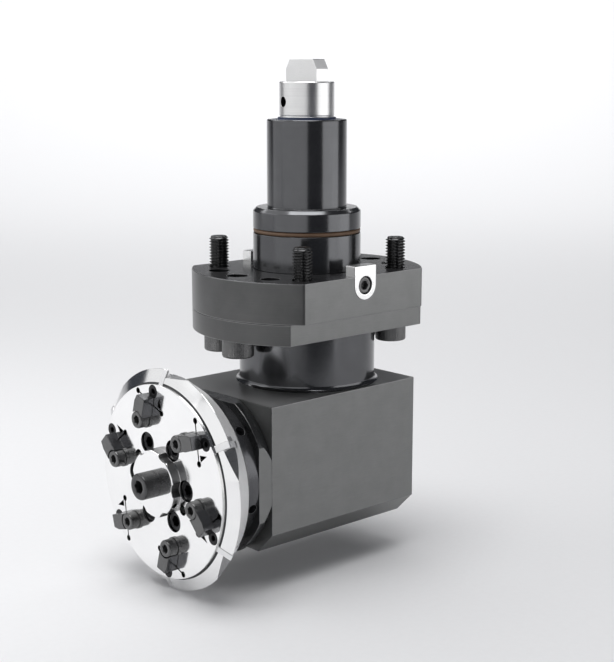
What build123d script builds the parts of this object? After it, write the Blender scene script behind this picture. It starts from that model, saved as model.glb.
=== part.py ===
from build123d import *
import math
import os

# A right-angle live tool holder with a six-insert polygon cutter, in millimetres.
# +Z runs up the shank, the origin is on its axis in the turret's seating face,
# and the spindle nose with the cutter points along -Y.

os.makedirs("parts", exist_ok=True)

# Clearances
running_clearance = 0.05
seat_clearance = 0.02
thread_clearance = 0.05
air_gap = 0.5

# Cap screws: radius of shank and head, the head's height and its socket across flats
shank_m4 = 2.0
head_m4 = 3.5
height_m4 = 4.0
socket_m4 = 3.0
shank_m5 = 2.5
head_m5 = 4.25
height_m5 = 5.0
socket_m5 = 4.0
shank_m6 = 3.0
head_m6 = 5.0
height_m6 = 6.0
socket_m6 = 5.0
shank_m8 = 4.0
head_m8 = 6.5
height_m8 = 8.0
socket_m8 = 6.0
low_head_m8 = 7.0
low_height_m8 = 2.8
low_socket_m8 = 5.0
shank_m10 = 5.0
head_m10 = 8.0
height_m10 = 10.0
socket_m10 = 8.0
screw_head_bevel = 0.4
screw_tip_bevel = 0.8
head_clearance = 0.25

# Shank flange, the upper plate with the turned shank
flange_radius = 59.0
flange_half_width = 43.0
flange_thickness = 20.0
collar_radius = 27.5
collar_height = 31.0
collar_bevel = 1.8
collar_relief_width = 1.0
collar_relief_depth = 0.5
sleeve_radius = 20.25
sleeve_top = 75.0
sleeve_bevel = 1.0
sleeve_foot_fillet = 1.0
spigot_length = 9.0

# O-ring round the collar
o_ring_height = 19.3
o_ring_radius = 1.2
o_ring_sink = 0.1

# Turret screws, captive between the two plates, and the housing's own screws below
turret_pitch = 64.0
turret_thread_length = 16.0
turret_head_depth = 10.0
turret_waist_radius = 4.2
turret_key_hole_radius = 4.4
housing_screw_circle = 46.2
housing_screw_angle = 25.3
housing_screw_length = 27.0
dowel_radius = 4.5
dowel_length = 28.0
dowel_bevel = 0.6

# Keys in the flange's two flats
key_width = 14.5
key_depth = 6.8
key_drop = 12.0
key_rise = 5.0
key_screw_sink = 0.6
key_screw_length = 9.0

# Gearbox housing: plate, neck and block
axis_drop = 95.3
plate_thickness = 10.5
block_half_width = 38.0
block_half_height = 37.3
block_front = 57.0
block_rear = 41.0
block_chamfer = 10.7
neck_radius = 35.0
neck_fillet = 7.0

# Bevel gears, one to one at a right angle
gear_teeth = 20
gear_module = 2.25
gear_face_width = 9.0
gear_pressure_angle = 20.0
gear_dedendum_factor = 1.25
gear_backlash = 0.20
gear_rim = 2.4
gear_bore_radius = 10.0
gear_hub_radius = 18.5
gear_hub_bevel = 0.8
gear_cavity_clearance = 1.0
gear_key_width = 6.0
gear_key_depth = 3.2
gear_key_rise = 2.4
gear_key_length = 12.0
gear_key_end = 3.0

# Drive shaft and its bearings
shaft_radius = 13.9
shaft_shoulder_radius = 17.5
shaft_shoulder_height = 8.0
shaft_bore_clearance = 0.7
input_bearing_bore = 15.0
input_bearing_width = 13.0
input_bearing_radius = 27.5
input_bearing_rows = 2
input_ball_radius = 3.6
input_balls = 9
needle_shell_radius = 17.5
needle_shell_wall = 1.1
needle_shell_length = 16.0
needle_shell_lip = 2.0
needle_count = 14
needle_end_gap = 0.3
seal_height = 6.0
seal_lip_radius = 14.7
seal_rise = 1.0
gear_washer_radius = 12.0
gear_washer_thickness = 2.5
gear_screw_length = 20.0

# Drive coupling on the shaft's top end: a round collar with a flat tang
coupling_gap = 1.6
coupling_height = 16.9
coupling_bevel = 1.4
tang_length = 23.0
tang_thickness = 8.0
tang_height = 11.0
tang_bevel_width = 2.8
tang_bevel_height = 4.8
coupling_hole_radius = 2.6
coupling_hole_depth = 7.0
coupling_hole_rise = 7.0
coupling_hole_angle = -102.0

# Spindle and its bearings; distances run forward from the drive shaft's axis
spindle_seat_radius = 17.5
spindle_shoulder_radius = 21.0
spindle_bearing_start = 34.0
spindle_bearing_width = 10.0
spindle_bearing_radius = 27.5
spindle_bearing_rows = 2
spindle_ball_radius = 2.8
spindle_balls = 11
spindle_flange_radius = 30.0
spindle_flange_gap = 1.0
spindle_end_bevel = 1.0
cutter_pilot_radius = 14.0
cutter_pilot_length = 9.0
rear_bearing_start = -32.0
rear_bearing_width = 9.0
rear_bearing_radius = 18.5
rear_ball_radius = 2.4
rear_balls = 9
spacer_radius = 12.0
spacer_lip_radius = 14.2
spacer_lip_width = 3.0
locknut_radius = 13.5
locknut_width = 4.0
locknut_slot_width = 4.0
locknut_slot_depth = 2.0
locknut_slots = 4
bearing_lip = 2.4
rear_cavity_end = -8.0

# Nose cap, nose ring and rear cover
nose_cap_radius = 42.3
nose_cap_thickness = 8.0
nose_cap_taper = 5.0
nose_cap_foot_radius = 39.5
nose_cap_spigot = 3.0
nose_cap_bore = 24.8
nose_thread_radius = 30.0
nose_thread_length = 6.0
nose_ring_inset = 0.2
nose_ring_thickness = 7.0
nose_ring_bevel = 0.8
nose_screw_circle = 34.0
nose_screw_length = 20.0
nose_screw_sink = 0.5
nose_screw_count = 6
nose_screw_angle = 15.0
nose_seal_radius = 26.5
nose_seal_width = 6.0
nose_seal_start = 61.0
spanner_hole_setback = 2.8
spanner_hole_radius = 2.4
spanner_hole_depth = 4.5
spanner_hole_angle = 43.0
spanner_hole_count = 6
rear_cover_radius = 33.0
rear_cover_thickness = 5.0
rear_cover_bore = 15.0
rear_cover_relief = 1.5
rear_cover_screw_circle = 28.3
rear_cover_screw_count = 6
rear_cover_screw_length = 12.0

# Cutter body: a disc with a double bevel that ends in six teeth
cutter_rear = 78.5
cutter_front = 95.0
cutter_face_radius = 47.5
cutter_step_depth = 2.0
cutter_step_radius = 48.2
cutter_rim_radius = 54.5
cutter_rim_position = 90.0
cutter_rear_radius = 46.5
tooth_count = 6
tooth_angle = 28.9
gullet_floor_radius = 50.9
gullet_sweep = 16.5
pocket_clearance = 0.1

# Inserts, eighty degree rhombs standing in the plane of the spindle axis
insert_side = 9.7
insert_thickness = 3.2
insert_corner = 80.0
insert_front_lean = 24.7
insert_tip_rise = 0.4
insert_bore_radius = 1.8
insert_nose_radius = 0.6

# Clamps on the cutter's face, and the slits that let each insert's seat give a little
clamp_circle = 31.5
clamp_lead = 20.6
clamp_turn = 34.6
clamp_foot_radius = 4.7
clamp_foot_thickness = 1.0
clamp_length = 12.4
clamp_width = 7.6
clamp_height = 6.0
clamp_bevel = 0.4
clamp_screw_length = 11.0
locking_screw_place = (10.2, 42.8)
locking_screw_radius = 3.3
locking_screw_shank = 2.0
locking_screw_head = 0.6
locking_screw_length = 9.0
locking_screw_socket = 2.5
locking_screw_socket_depth = 2.5
slit_ends = ((-1.8, 45.4), (13.2, 31.6))
slit_end_radius = 1.5
slit_width = 0.8
slit_depth = 12.0

# Cutter fastening: clamp ring, arbor screw and a circle of screws
clamp_ring_radius = 16.5
clamp_ring_thickness = 4.9
clamp_ring_bevel = 0.5
arbor_screw_length = 30.0
cutter_screw_circle = 20.2
cutter_screw_sink = 1.0
cutter_screw_length = 13.5
cutter_screw_count = 6
jack_hole_angle = -30.0
jack_hole_radius = 2.5
jack_hole_depth = 8.0
ring_hole_radius = 1.5
ring_hole_depth = 4.0

# Planes and axes that the whole holder is built round
spindle_origin = (0, 0, -axis_drop)
spindle_front = Plane(origin=spindle_origin, x_dir=(1, 0, 0), z_dir=(0, -1, 0))
spindle_back = Plane(origin=spindle_origin, x_dir=(-1, 0, 0), z_dir=(0, 1, 0))
spindle_profile = Plane(origin=spindle_origin, x_dir=(0, 0, 1), z_dir=(1, 0, 0))
spindle_axis = Axis(spindle_origin, (0, -1, 0))

# Heights that follow from the sizes above
seam_height = -flange_thickness
plate_bottom = seam_height - plate_thickness
block_top = block_half_height - axis_drop
input_bearing_top = seam_height - spigot_length
input_bearing_bottom = input_bearing_top - input_bearing_rows * input_bearing_width
input_rows = [input_bearing_bottom + row * input_bearing_width for row in range(input_bearing_rows)]
shoulder_top = input_bearing_top + shaft_shoulder_height
seal_bottom = sleeve_top - seal_height
needle_bottom = seal_bottom - needle_shell_length
coupling_bottom = sleeve_top + coupling_gap
coupling_top = coupling_bottom + coupling_height

# Distances in front of the shaft's axis that follow from the sizes above
spindle_bearing_end = spindle_bearing_start + spindle_bearing_rows * spindle_bearing_width
spindle_rows = [spindle_bearing_start + row * spindle_bearing_width for row in range(spindle_bearing_rows)]
rear_bearing_end = rear_bearing_start + rear_bearing_width
locknut_start = rear_bearing_start - locknut_width
rear_cover_face = rear_cover_thickness - block_rear
nose_cap_front = block_front + nose_cap_thickness
nose_ring_front = nose_cap_front + nose_ring_thickness
nose_ring_radius = block_half_width - nose_ring_inset
flange_start = nose_ring_front + spindle_flange_gap
pilot_end = cutter_rear + cutter_pilot_length
clamp_ring_front = cutter_front + clamp_ring_thickness

# Bevel gear sizes
pitch_radius = gear_module * gear_teeth / 2
cone_distance = pitch_radius * math.sqrt(2)
toe_scale = (cone_distance - gear_face_width) / cone_distance
addendum = gear_module
dedendum = gear_dedendum_factor * gear_module
gear_cavity_radius = pitch_radius + addendum * math.sqrt(0.5) + gear_cavity_clearance
cone_share = math.sqrt(0.5)
gear_toe = (cone_distance + dedendum + gear_rim) * toe_scale * cone_share


def polar(radius, angle):
    """A point on a circle, from its angle in degrees."""
    return radius * math.cos(math.radians(angle)), radius * math.sin(math.radians(angle))


def turned(plane, angle):
    """The same plane, turned about its own normal."""
    return Plane(
        origin=plane.origin,
        x_dir=plane.x_dir.rotate(Axis((0, 0, 0), plane.z_dir), angle),
        z_dir=plane.z_dir,
    )


def band(inner, outer, low, high):
    """Half of a ring's section in the open sketch: radii across, heights along the axis."""
    Polygon((inner, low), (outer, low), (outer, high), (inner, high), align=None)


def placed(piece, plane, places):
    """Copies of a piece at places on a plane, as one group."""
    with BuildPart() as group:
        with Locations(plane):
            with Locations(*places):
                add(piece)
    return group.part


def cap_screw(size, length):
    """A socket head cap screw with its seat at height 0 and its shank pointing down."""
    shank, head, height, socket = SCREWS[size]
    with BuildPart() as screw:
        Cylinder(head, height, align=(Align.CENTER, Align.CENTER, Align.MIN))
        chamfer(screw.edges().group_by(Axis.Z)[-1], screw_head_bevel)
        with BuildSketch(Plane.XY.offset(height)):
            RegularPolygon(socket / 2, 6, major_radius=False)
        extrude(amount=-height / 2, mode=Mode.SUBTRACT)
        Cylinder(shank, length, align=(Align.CENTER, Align.CENTER, Align.MAX))
        chamfer(screw.edges().group_by(Axis.Z)[0], screw_tip_bevel)
    return screw.part


def race(plane, axis, inner, outer, starts, width, circle, ball):
    """The rings of a row of bearings between two radii, with grooves for the balls."""
    with BuildPart() as rings:
        with BuildSketch(plane):
            for start in starts:
                band(inner, outer, start, start + width)
            with Locations(*[(circle, start + width / 2) for start in starts]):
                Circle(ball + running_clearance, mode=Mode.SUBTRACT)
        revolve(axis=axis)
    return rings.part


def ball_set(plane, starts, width, circle, ball, count):
    """The balls of a row of bearings."""
    with BuildPart() as balls:
        with Locations(*[plane.offset(start + width / 2) for start in starts]):
            with PolarLocations(circle, count):
                Sphere(ball)
    return balls.part


def flank_point(radius, base_radius, half_angle):
    """A point of the tooth's flank, seen from the centre of the equivalent spur gear."""
    roll = math.acos(min(1.0, base_radius / radius))
    angle = half_angle - (math.tan(roll) - roll)
    return radius * math.sin(angle), radius * math.cos(angle)


def tooth_section(scale):
    """The tooth's section square to the pitch cone, at a share of the cone distance."""
    centre = cone_distance * scale
    pressure = math.radians(gear_pressure_angle)
    base = centre * math.cos(pressure)
    tip = centre + addendum * scale
    foot = -(dedendum + gear_rim / 2) * scale
    thickness_angle = math.pi / (2 * gear_teeth * math.sqrt(2)) - gear_backlash / (4 * cone_distance)
    half_angle = thickness_angle + math.tan(pressure) - pressure
    radii = (base, (base + tip) / 2, tip)
    flank = [(x, y - centre) for x, y in (flank_point(radius, base, half_angle) for radius in radii)]
    mirrored = [(-x, y) for x, y in reversed(flank)]
    plane = Plane(
        origin=(centre * cone_share, 0, centre * cone_share), x_dir=(0, -1, 0), z_dir=(1, 0, 1)
    )
    with BuildSketch(plane) as section:
        with BuildLine():
            Line((flank[0][0], foot), flank[0])
            ThreePointArc(*flank)
            Line(flank[-1], mirrored[0])
            ThreePointArc(*mirrored)
            Polyline(mirrored[-1], (-flank[0][0], foot), (flank[0][0], foot))
        make_face()
    return section.sketch


def cone_point(scale, depth):
    """A gear's profile point, at a share of the cone distance and a depth under the pitch cone."""
    return ((cone_distance - depth) * scale * cone_share, (cone_distance + depth) * scale * cone_share)


def mitre_gear(hub_end):
    """A straight bevel gear with a keyway, its apex at the origin and its axis up."""
    with BuildPart() as tooth:
        loft([tooth_section(1), tooth_section(toe_scale)], ruled=True)
    with BuildPart() as gear:
        with BuildSketch(Plane.XZ):
            Polygon(
                (gear_bore_radius, gear_toe),
                cone_point(toe_scale, dedendum + gear_rim),
                cone_point(toe_scale, dedendum),
                cone_point(1, dedendum),
                cone_point(1, dedendum + gear_rim),
                (gear_hub_radius, cone_point(1, dedendum + gear_rim)[1]),
                (gear_hub_radius, hub_end - gear_hub_bevel),
                (gear_hub_radius - gear_hub_bevel, hub_end),
                (gear_bore_radius, hub_end),
                align=None,
            )
        revolve(axis=Axis.Z)
        with PolarLocations(0, gear_teeth):
            add(tooth.part)
        with Locations((gear_bore_radius, 0, hub_end)):
            Box(
                2 * (gear_key_rise + seat_clearance),
                gear_key_width + 2 * seat_clearance,
                2 * hub_end,
                mode=Mode.SUBTRACT,
            )
    return gear.part


def gear_key():
    """The key under a gear, from its bottom at the origin's height upward."""
    with BuildPart() as key:
        with Locations((gear_bore_radius - gear_key_depth, 0, 0)):
            Box(
                gear_key_depth + gear_key_rise,
                gear_key_width,
                gear_key_length,
                align=(Align.MIN, Align.CENTER, Align.MIN),
            )
        fillet(key.edges().filter_by(Axis.X), gear_key_width / 2 - seat_clearance)
    return key.part


def keyway(plane):
    """Cuts the key's bed into the open shaft, from the key's bottom upward."""
    with Locations(plane):
        with Locations((gear_bore_radius - gear_key_depth - seat_clearance, 0, -seat_clearance)):
            Box(
                gear_key_width,
                gear_key_width + 2 * seat_clearance,
                gear_key_length + 2 * seat_clearance,
                align=(Align.MIN, Align.CENTER, Align.MIN),
                mode=Mode.SUBTRACT,
            )


def save(piece, name):
    """Labels a finished piece and writes its file."""
    piece.label = name
    export_step(piece, f"parts/{name}.step")


# Places that several pieces share
turret_half = turret_pitch / 2
turret_places = [(x, y) for x in (-turret_half, turret_half) for y in (-turret_half, turret_half)]
housing_screw_places = [
    polar(housing_screw_circle, angle)
    for angle in (-90, -90 - housing_screw_angle, 90, 90 - housing_screw_angle)
]
dowel_places = [
    polar(housing_screw_circle, angle) for angle in (housing_screw_angle - 90, housing_screw_angle + 90)
]
cutter_screw_places = [
    polar(cutter_screw_circle, 360 / cutter_screw_count * number) for number in range(cutter_screw_count)
]
nose_screw_places = [
    polar(nose_screw_circle, nose_screw_angle + 360 / nose_screw_count * number)
    for number in range(nose_screw_count)
]
rear_screw_places = [
    polar(rear_cover_screw_circle, 360 / rear_cover_screw_count * number)
    for number in range(rear_cover_screw_count)
]
SCREWS = {
    "M4": (shank_m4, head_m4, height_m4, socket_m4),
    "M5": (shank_m5, head_m5, height_m5, socket_m5),
    "M6": (shank_m6, head_m6, height_m6, socket_m6),
    "M8": (shank_m8, head_m8, height_m8, socket_m8),
    "M8 low": (shank_m8, low_head_m8, low_height_m8, low_socket_m8),
    "M10": (shank_m10, head_m10, height_m10, socket_m10),
}

# Locating keys: square above, round below, in beds in the flange's two flats
key_centre = key_width / 2 - key_drop
key_sides = [
    Plane(origin=(side * flange_half_width, 0, 0), x_dir=(0, side, 0), z_dir=(side, 0, 0))
    for side in (1, -1)
]


def key_outline(grow):
    """The key's outline in the open sketch, grown by a clearance on its round end and sides."""
    with Locations((0, key_centre)):
        Circle(key_width / 2 + grow)
    with Locations((0, (key_centre + key_rise) / 2)):
        Rectangle(key_width + 2 * grow, key_rise - key_centre)


keys = []
for side_plane in key_sides:
    with BuildPart() as locating_key:
        with BuildSketch(side_plane):
            key_outline(0)
        extrude(amount=-key_depth)
        with Locations(side_plane):
            with Locations((0, key_centre)):
                CounterBoreHole(
                    shank_m5 + thread_clearance,
                    head_m5 + head_clearance,
                    height_m5 + key_screw_sink,
                    key_depth,
                )
    keys.append(locating_key.part)

for piece, side in zip(keys, ("right", "left")):
    save(piece, f"locating_key_{side}")

with BuildPart() as key_screws:
    for side_plane in key_sides:
        with Locations(side_plane.offset(-height_m5 - key_screw_sink)):
            with Locations((0, key_centre)):
                add(cap_screw("M5", key_screw_length))
save(key_screws.part, "key_screws")

# Shank flange: a flatted plate with the turned shank above and a spigot below
with BuildPart() as shank_flange:
    with BuildSketch(Plane.XY.offset(seam_height)):
        Circle(flange_radius)
        Rectangle(2 * flange_half_width, 2 * flange_radius, mode=Mode.INTERSECT)
    extrude(amount=flange_thickness)
    with BuildSketch(Plane.XZ) as shank_section:
        Polygon(
            (0, input_bearing_top),
            (input_bearing_radius - seat_clearance, input_bearing_top),
            (input_bearing_radius - seat_clearance, seam_height),
            (collar_radius, seam_height),
            (collar_radius, collar_height - collar_bevel),
            (collar_radius - collar_bevel, collar_height),
            (sleeve_radius, collar_height),
            (sleeve_radius, sleeve_top - sleeve_bevel),
            (sleeve_radius - sleeve_bevel, sleeve_top),
            (0, sleeve_top),
            align=None,
        )
        sleeve_foot = shank_section.vertices().sort_by_distance((sleeve_radius, collar_height))[0]
        fillet(sleeve_foot, sleeve_foot_fillet)
    revolve(axis=Axis.Z)
    with BuildSketch(Plane.XZ):
        o_ring_bottom = collar_radius - o_ring_sink - 2 * o_ring_radius
        band(o_ring_bottom, collar_radius, o_ring_height - o_ring_radius, o_ring_height + o_ring_radius)
        band(0, needle_shell_radius, needle_bottom, sleeve_top)
        band(0, shaft_radius + shaft_bore_clearance, shoulder_top, needle_bottom)
        band(0, shaft_shoulder_radius + shaft_bore_clearance, input_bearing_top, shoulder_top + air_gap)
        band(collar_radius, collar_radius + collar_relief_width, -collar_relief_depth, 0)
    revolve(axis=Axis.Z, mode=Mode.SUBTRACT)
    with Locations(Plane.XY.offset(seam_height).rotated((180, 0, 0))):
        with Locations(*turret_places):
            CounterBoreHole(
                shank_m10 + thread_clearance,
                head_m10 + head_clearance,
                flange_thickness - turret_head_depth,
                flange_thickness,
            )
    with Locations(*[(x, y, 0) for x, y in housing_screw_places]):
        Hole(shank_m10 + thread_clearance, flange_thickness)
    with Locations(*[(x, y, 0) for x, y in dowel_places]):
        Hole(dowel_radius + seat_clearance, flange_thickness)
    for side_plane in key_sides:
        with BuildSketch(side_plane):
            key_outline(seat_clearance)
        extrude(amount=-key_depth, mode=Mode.SUBTRACT)
        with Locations(side_plane):
            with Locations((0, key_centre)):
                Hole(shank_m5 + thread_clearance, key_depth + key_screw_length)
save(shank_flange.part, "shank_flange")

# O-ring round the collar
with BuildPart() as shank_o_ring:
    with BuildSketch(Plane.XZ):
        with Locations((collar_radius - o_ring_sink - o_ring_radius, o_ring_height)):
            Circle(o_ring_radius - seat_clearance)
    revolve(axis=Axis.Z)
save(shank_o_ring.part, "shank_o_ring")

# Turret screws, heads down and held captive between the plates by a waist below the thread
upward = Plane.XY.rotated((180, 0, 0))
with BuildPart() as turret_screw:
    add(cap_screw("M10", turret_head_depth + turret_thread_length))
    with BuildSketch(Plane.XZ):
        band(turret_waist_radius, shank_m10, -turret_head_depth, 0)
    revolve(axis=Axis.Z, mode=Mode.SUBTRACT)
save(placed(turret_screw.part, upward.offset(turret_head_depth), turret_places), "turret_screws")

housing_screw_seat = upward.offset(-plate_bottom)
mirrored_places = [(x, -y) for x, y in housing_screw_places]
save(
    placed(cap_screw("M10", housing_screw_length), housing_screw_seat, mirrored_places), "housing_screws"
)
with BuildPart() as flange_dowels:
    with Locations(*[(x, y, plate_bottom) for x, y in dowel_places]):
        Cylinder(dowel_radius, dowel_length, align=(Align.CENTER, Align.CENTER, Align.MIN))
    chamfer(flange_dowels.edges().filter_by(GeomType.CIRCLE), dowel_bevel)
save(flange_dowels.part, "flange_dowels")

# Gearbox housing: lower plate, turned neck and block with crossing bores
with BuildPart() as neck:
    with BuildSketch(Plane.XZ):
        with BuildLine():
            Polyline(
                (0, block_top),
                (0, plate_bottom),
                (neck_radius, plate_bottom),
                (neck_radius, block_top + neck_fillet),
            )
            CenterArc((neck_radius + neck_fillet, block_top + neck_fillet), neck_fillet, 180, 90)
            Line((neck_radius + neck_fillet, block_top), (0, block_top))
        make_face()
    revolve(axis=Axis.Z)
    with BuildSketch(Plane.XY.offset(block_top)):
        with Locations((0, (block_rear - block_front) / 2)):
            Rectangle(2 * block_half_width, block_front + block_rear)
    extrude(amount=plate_bottom - block_top, mode=Mode.INTERSECT)

with BuildPart() as gearbox_housing:
    with BuildSketch(Plane.XY.offset(plate_bottom)):
        Circle(flange_radius)
        Rectangle(2 * block_half_width, 2 * flange_radius, mode=Mode.INTERSECT)
    extrude(amount=plate_thickness)
    with BuildSketch(spindle_back.offset(block_rear)):
        Polygon(
            (block_half_width, block_half_height),
            (-block_half_width, block_half_height),
            (-block_half_width, block_chamfer - block_half_height),
            (block_chamfer - block_half_width, -block_half_height),
            (block_half_width - block_chamfer, -block_half_height),
            (block_half_width, block_chamfer - block_half_height),
            align=None,
        )
    extrude(amount=-block_front - block_rear)
    add(neck.part)
    with BuildSketch(Plane.XZ):
        band(0, input_bearing_radius + seat_clearance, input_bearing_bottom, seam_height)
        band(0, gear_cavity_radius, -axis_drop, input_bearing_bottom)
    revolve(axis=Axis.Z, mode=Mode.SUBTRACT)
    with BuildSketch(spindle_profile):
        band(0, spindle_bearing_radius + seat_clearance, spindle_bearing_start, block_front)
        band(0, gear_cavity_radius, rear_cavity_end, spindle_bearing_start)
        band(0, rear_bearing_radius - bearing_lip, rear_bearing_end, rear_cavity_end)
        band(0, rear_bearing_radius + seat_clearance, rear_cover_face, rear_bearing_end)
        band(0, rear_cover_radius + seat_clearance, -block_rear, rear_cover_face)
    revolve(axis=spindle_axis, mode=Mode.SUBTRACT)
    with Locations(*[(x, y, seam_height) for x, y in turret_places]):
        Hole(turret_key_hole_radius, plate_thickness)
    with Locations(*[(x, y, seam_height) for x, y in housing_screw_places]):
        Hole(shank_m10 + thread_clearance, plate_thickness)
    with Locations(*[(x, y, seam_height) for x, y in dowel_places]):
        Hole(dowel_radius + seat_clearance, plate_thickness)
    with Locations(spindle_front.offset(block_front)):
        with Locations(*nose_screw_places):
            Hole(shank_m4 + thread_clearance, nose_screw_length)
    with Locations(spindle_back.offset(-rear_cover_face)):
        with Locations(*rear_screw_places):
            Hole(shank_m4 + thread_clearance, rear_cover_screw_length)
save(gearbox_housing.part, "gearbox_housing")

# Shank seal, with a lip that shows above the sleeve
with BuildPart() as shank_seal:
    with BuildSketch(Plane.XZ):
        band(shaft_radius + running_clearance, needle_shell_radius - seat_clearance, seal_bottom, sleeve_top)
        band(shaft_radius + running_clearance, seal_lip_radius, sleeve_top, sleeve_top + seal_rise)
    revolve(axis=Axis.Z)
save(shank_seal.part, "shank_seal")

# Needle bearing in the sleeve's mouth
needle_track = needle_shell_radius - needle_shell_wall
needle_radius = (needle_track - shaft_radius) / 2 - running_clearance
needle_space = needle_shell_length - 2 * needle_shell_wall
with BuildPart() as needle_shell:
    with BuildSketch(Plane.XZ):
        shell_outside = needle_shell_radius - seat_clearance
        shell_lip = needle_track - needle_shell_lip
        band(needle_track, shell_outside, needle_bottom, seal_bottom)
        band(shell_lip, shell_outside, needle_bottom, needle_bottom + needle_shell_wall)
        band(shell_lip, shell_outside, seal_bottom - needle_shell_wall, seal_bottom)
    revolve(axis=Axis.Z)
save(needle_shell.part, "needle_shell")

with BuildPart() as needle_rollers:
    with Locations((0, 0, needle_bottom + needle_shell_wall + needle_end_gap)):
        with PolarLocations((needle_track + shaft_radius) / 2, needle_count):
            Cylinder(
                needle_radius,
                needle_space - 2 * needle_end_gap,
                align=(Align.CENTER, Align.CENTER, Align.MIN),
            )
save(needle_rollers.part, "needle_rollers")

# Ball bearings: each inner ring turns with its shaft, the outer rings sit in the housing
bearing_sets = {
    "input": (
        Plane.XZ,
        Axis.Z,
        Plane.XY,
        input_bearing_bore,
        input_bearing_radius,
        input_rows,
        input_bearing_width,
        input_ball_radius,
        input_balls,
    ),
    "front": (
        spindle_profile,
        spindle_axis,
        spindle_front,
        spindle_seat_radius,
        spindle_bearing_radius,
        spindle_rows,
        spindle_bearing_width,
        spindle_ball_radius,
        spindle_balls,
    ),
    "rear": (
        spindle_profile,
        spindle_axis,
        spindle_front,
        gear_bore_radius,
        rear_bearing_radius,
        [rear_bearing_start],
        rear_bearing_width,
        rear_ball_radius,
        rear_balls,
    ),
}
for name, (profile, axis, face, bore, outside, rows, width, ball, count) in bearing_sets.items():
    circle = (bore + outside) / 2
    save(race(profile, axis, bore, circle - ball / 2, rows, width, circle, ball), f"{name}_bearing_inner")
    save(race(profile, axis, circle + ball / 2, outside, rows, width, circle, ball), f"{name}_bearing_outer")
    save(ball_set(face, rows, width, circle, ball, count), f"{name}_bearing_balls")

# Input gear on the drive shaft's lower end, with its key, washer and screw
input_hub_end = axis_drop + input_bearing_bottom
input_gear_plane = Plane.XY.offset(-axis_drop)
input_key_plane = input_gear_plane.offset(input_hub_end - gear_key_end - gear_key_length)
washer_top = gear_toe - axis_drop
save(placed(mitre_gear(input_hub_end), input_gear_plane, [(0, 0)]), "input_gear")
save(placed(gear_key(), input_key_plane, [(0, 0)]), "input_gear_key")

with BuildPart() as gear_washer:
    with Locations((0, 0, washer_top)):
        Cylinder(gear_washer_radius, gear_washer_thickness, align=(Align.CENTER, Align.CENTER, Align.MAX))
        Hole(shank_m8 + thread_clearance, gear_washer_thickness)
save(gear_washer.part, "gear_washer")

gear_screw_seat = upward.offset(gear_washer_thickness - washer_top)
save(placed(cap_screw("M8 low", gear_screw_length), gear_screw_seat, [(0, 0)]), "gear_screw")

# Drive shaft: gear seat, bearing seat, shoulder and running journal below the coupling's tang
with BuildPart() as drive_shaft:
    with BuildSketch(Plane.XZ):
        Polygon(
            (0, washer_top + air_gap),
            (gear_bore_radius - seat_clearance, washer_top + air_gap),
            (gear_bore_radius - seat_clearance, input_bearing_bottom + air_gap),
            (input_bearing_bore - seat_clearance, input_bearing_bottom + air_gap),
            (input_bearing_bore - seat_clearance, input_bearing_top),
            (shaft_shoulder_radius, input_bearing_top),
            (shaft_shoulder_radius, shoulder_top),
            (shaft_radius, shoulder_top),
            (shaft_radius, coupling_top - coupling_bevel),
            (shaft_radius - coupling_bevel, coupling_top),
            (0, coupling_top),
            align=None,
        )
    revolve(axis=Axis.Z)
    with BuildSketch(Plane.XZ):
        Polygon(
            (-tang_length / 2, coupling_top - coupling_bevel),
            (tang_length / 2, coupling_top - coupling_bevel),
            (tang_length / 2, coupling_top + tang_height - tang_bevel_height),
            (tang_length / 2 - tang_bevel_width, coupling_top + tang_height),
            (tang_bevel_width - tang_length / 2, coupling_top + tang_height),
            (-tang_length / 2, coupling_top + tang_height - tang_bevel_height),
            align=None,
        )
    extrude(amount=tang_thickness / 2, both=True)
    with Locations((0, 0, coupling_bottom + coupling_hole_rise)):
        with PolarLocations(shaft_radius, 1, start_angle=coupling_hole_angle):
            Cylinder(coupling_hole_radius, 2 * coupling_hole_depth, rotation=(0, 90, 0), mode=Mode.SUBTRACT)
    with Locations(upward.offset(-washer_top - air_gap)):
        Hole(shank_m8 + thread_clearance, gear_screw_length)
    keyway(input_key_plane)
save(drive_shaft.part, "drive_shaft")

# Output gear on the spindle, turned half a pitch so that its gap meets the other gear's tooth
output_gear_plane = turned(spindle_front, 180 / gear_teeth)
output_key_plane = output_gear_plane.offset(spindle_bearing_start - gear_key_end - gear_key_length)
save(placed(mitre_gear(spindle_bearing_start), output_gear_plane, [(0, 0)]), "output_gear")
save(placed(gear_key(), output_key_plane, [(0, 0)]), "output_gear_key")

with BuildPart() as spindle_spacer:
    with BuildSketch(spindle_profile):
        band(gear_bore_radius, spacer_radius, rear_bearing_end, gear_toe)
        band(gear_bore_radius, spacer_lip_radius, rear_bearing_end, rear_bearing_end + spacer_lip_width)
    revolve(axis=spindle_axis)
save(spindle_spacer.part, "spindle_spacer")

with BuildPart() as spindle_locknut:
    with BuildSketch(spindle_profile):
        band(gear_bore_radius, locknut_radius, locknut_start, rear_bearing_start)
    revolve(axis=spindle_axis)
    with Locations(spindle_front.offset(locknut_start)):
        with PolarLocations(locknut_radius, locknut_slots):
            Box(
                2 * locknut_slot_depth,
                locknut_slot_width,
                locknut_width,
                align=(Align.CENTER, Align.CENTER, Align.MIN),
                mode=Mode.SUBTRACT,
            )
save(spindle_locknut.part, "spindle_locknut")

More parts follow.
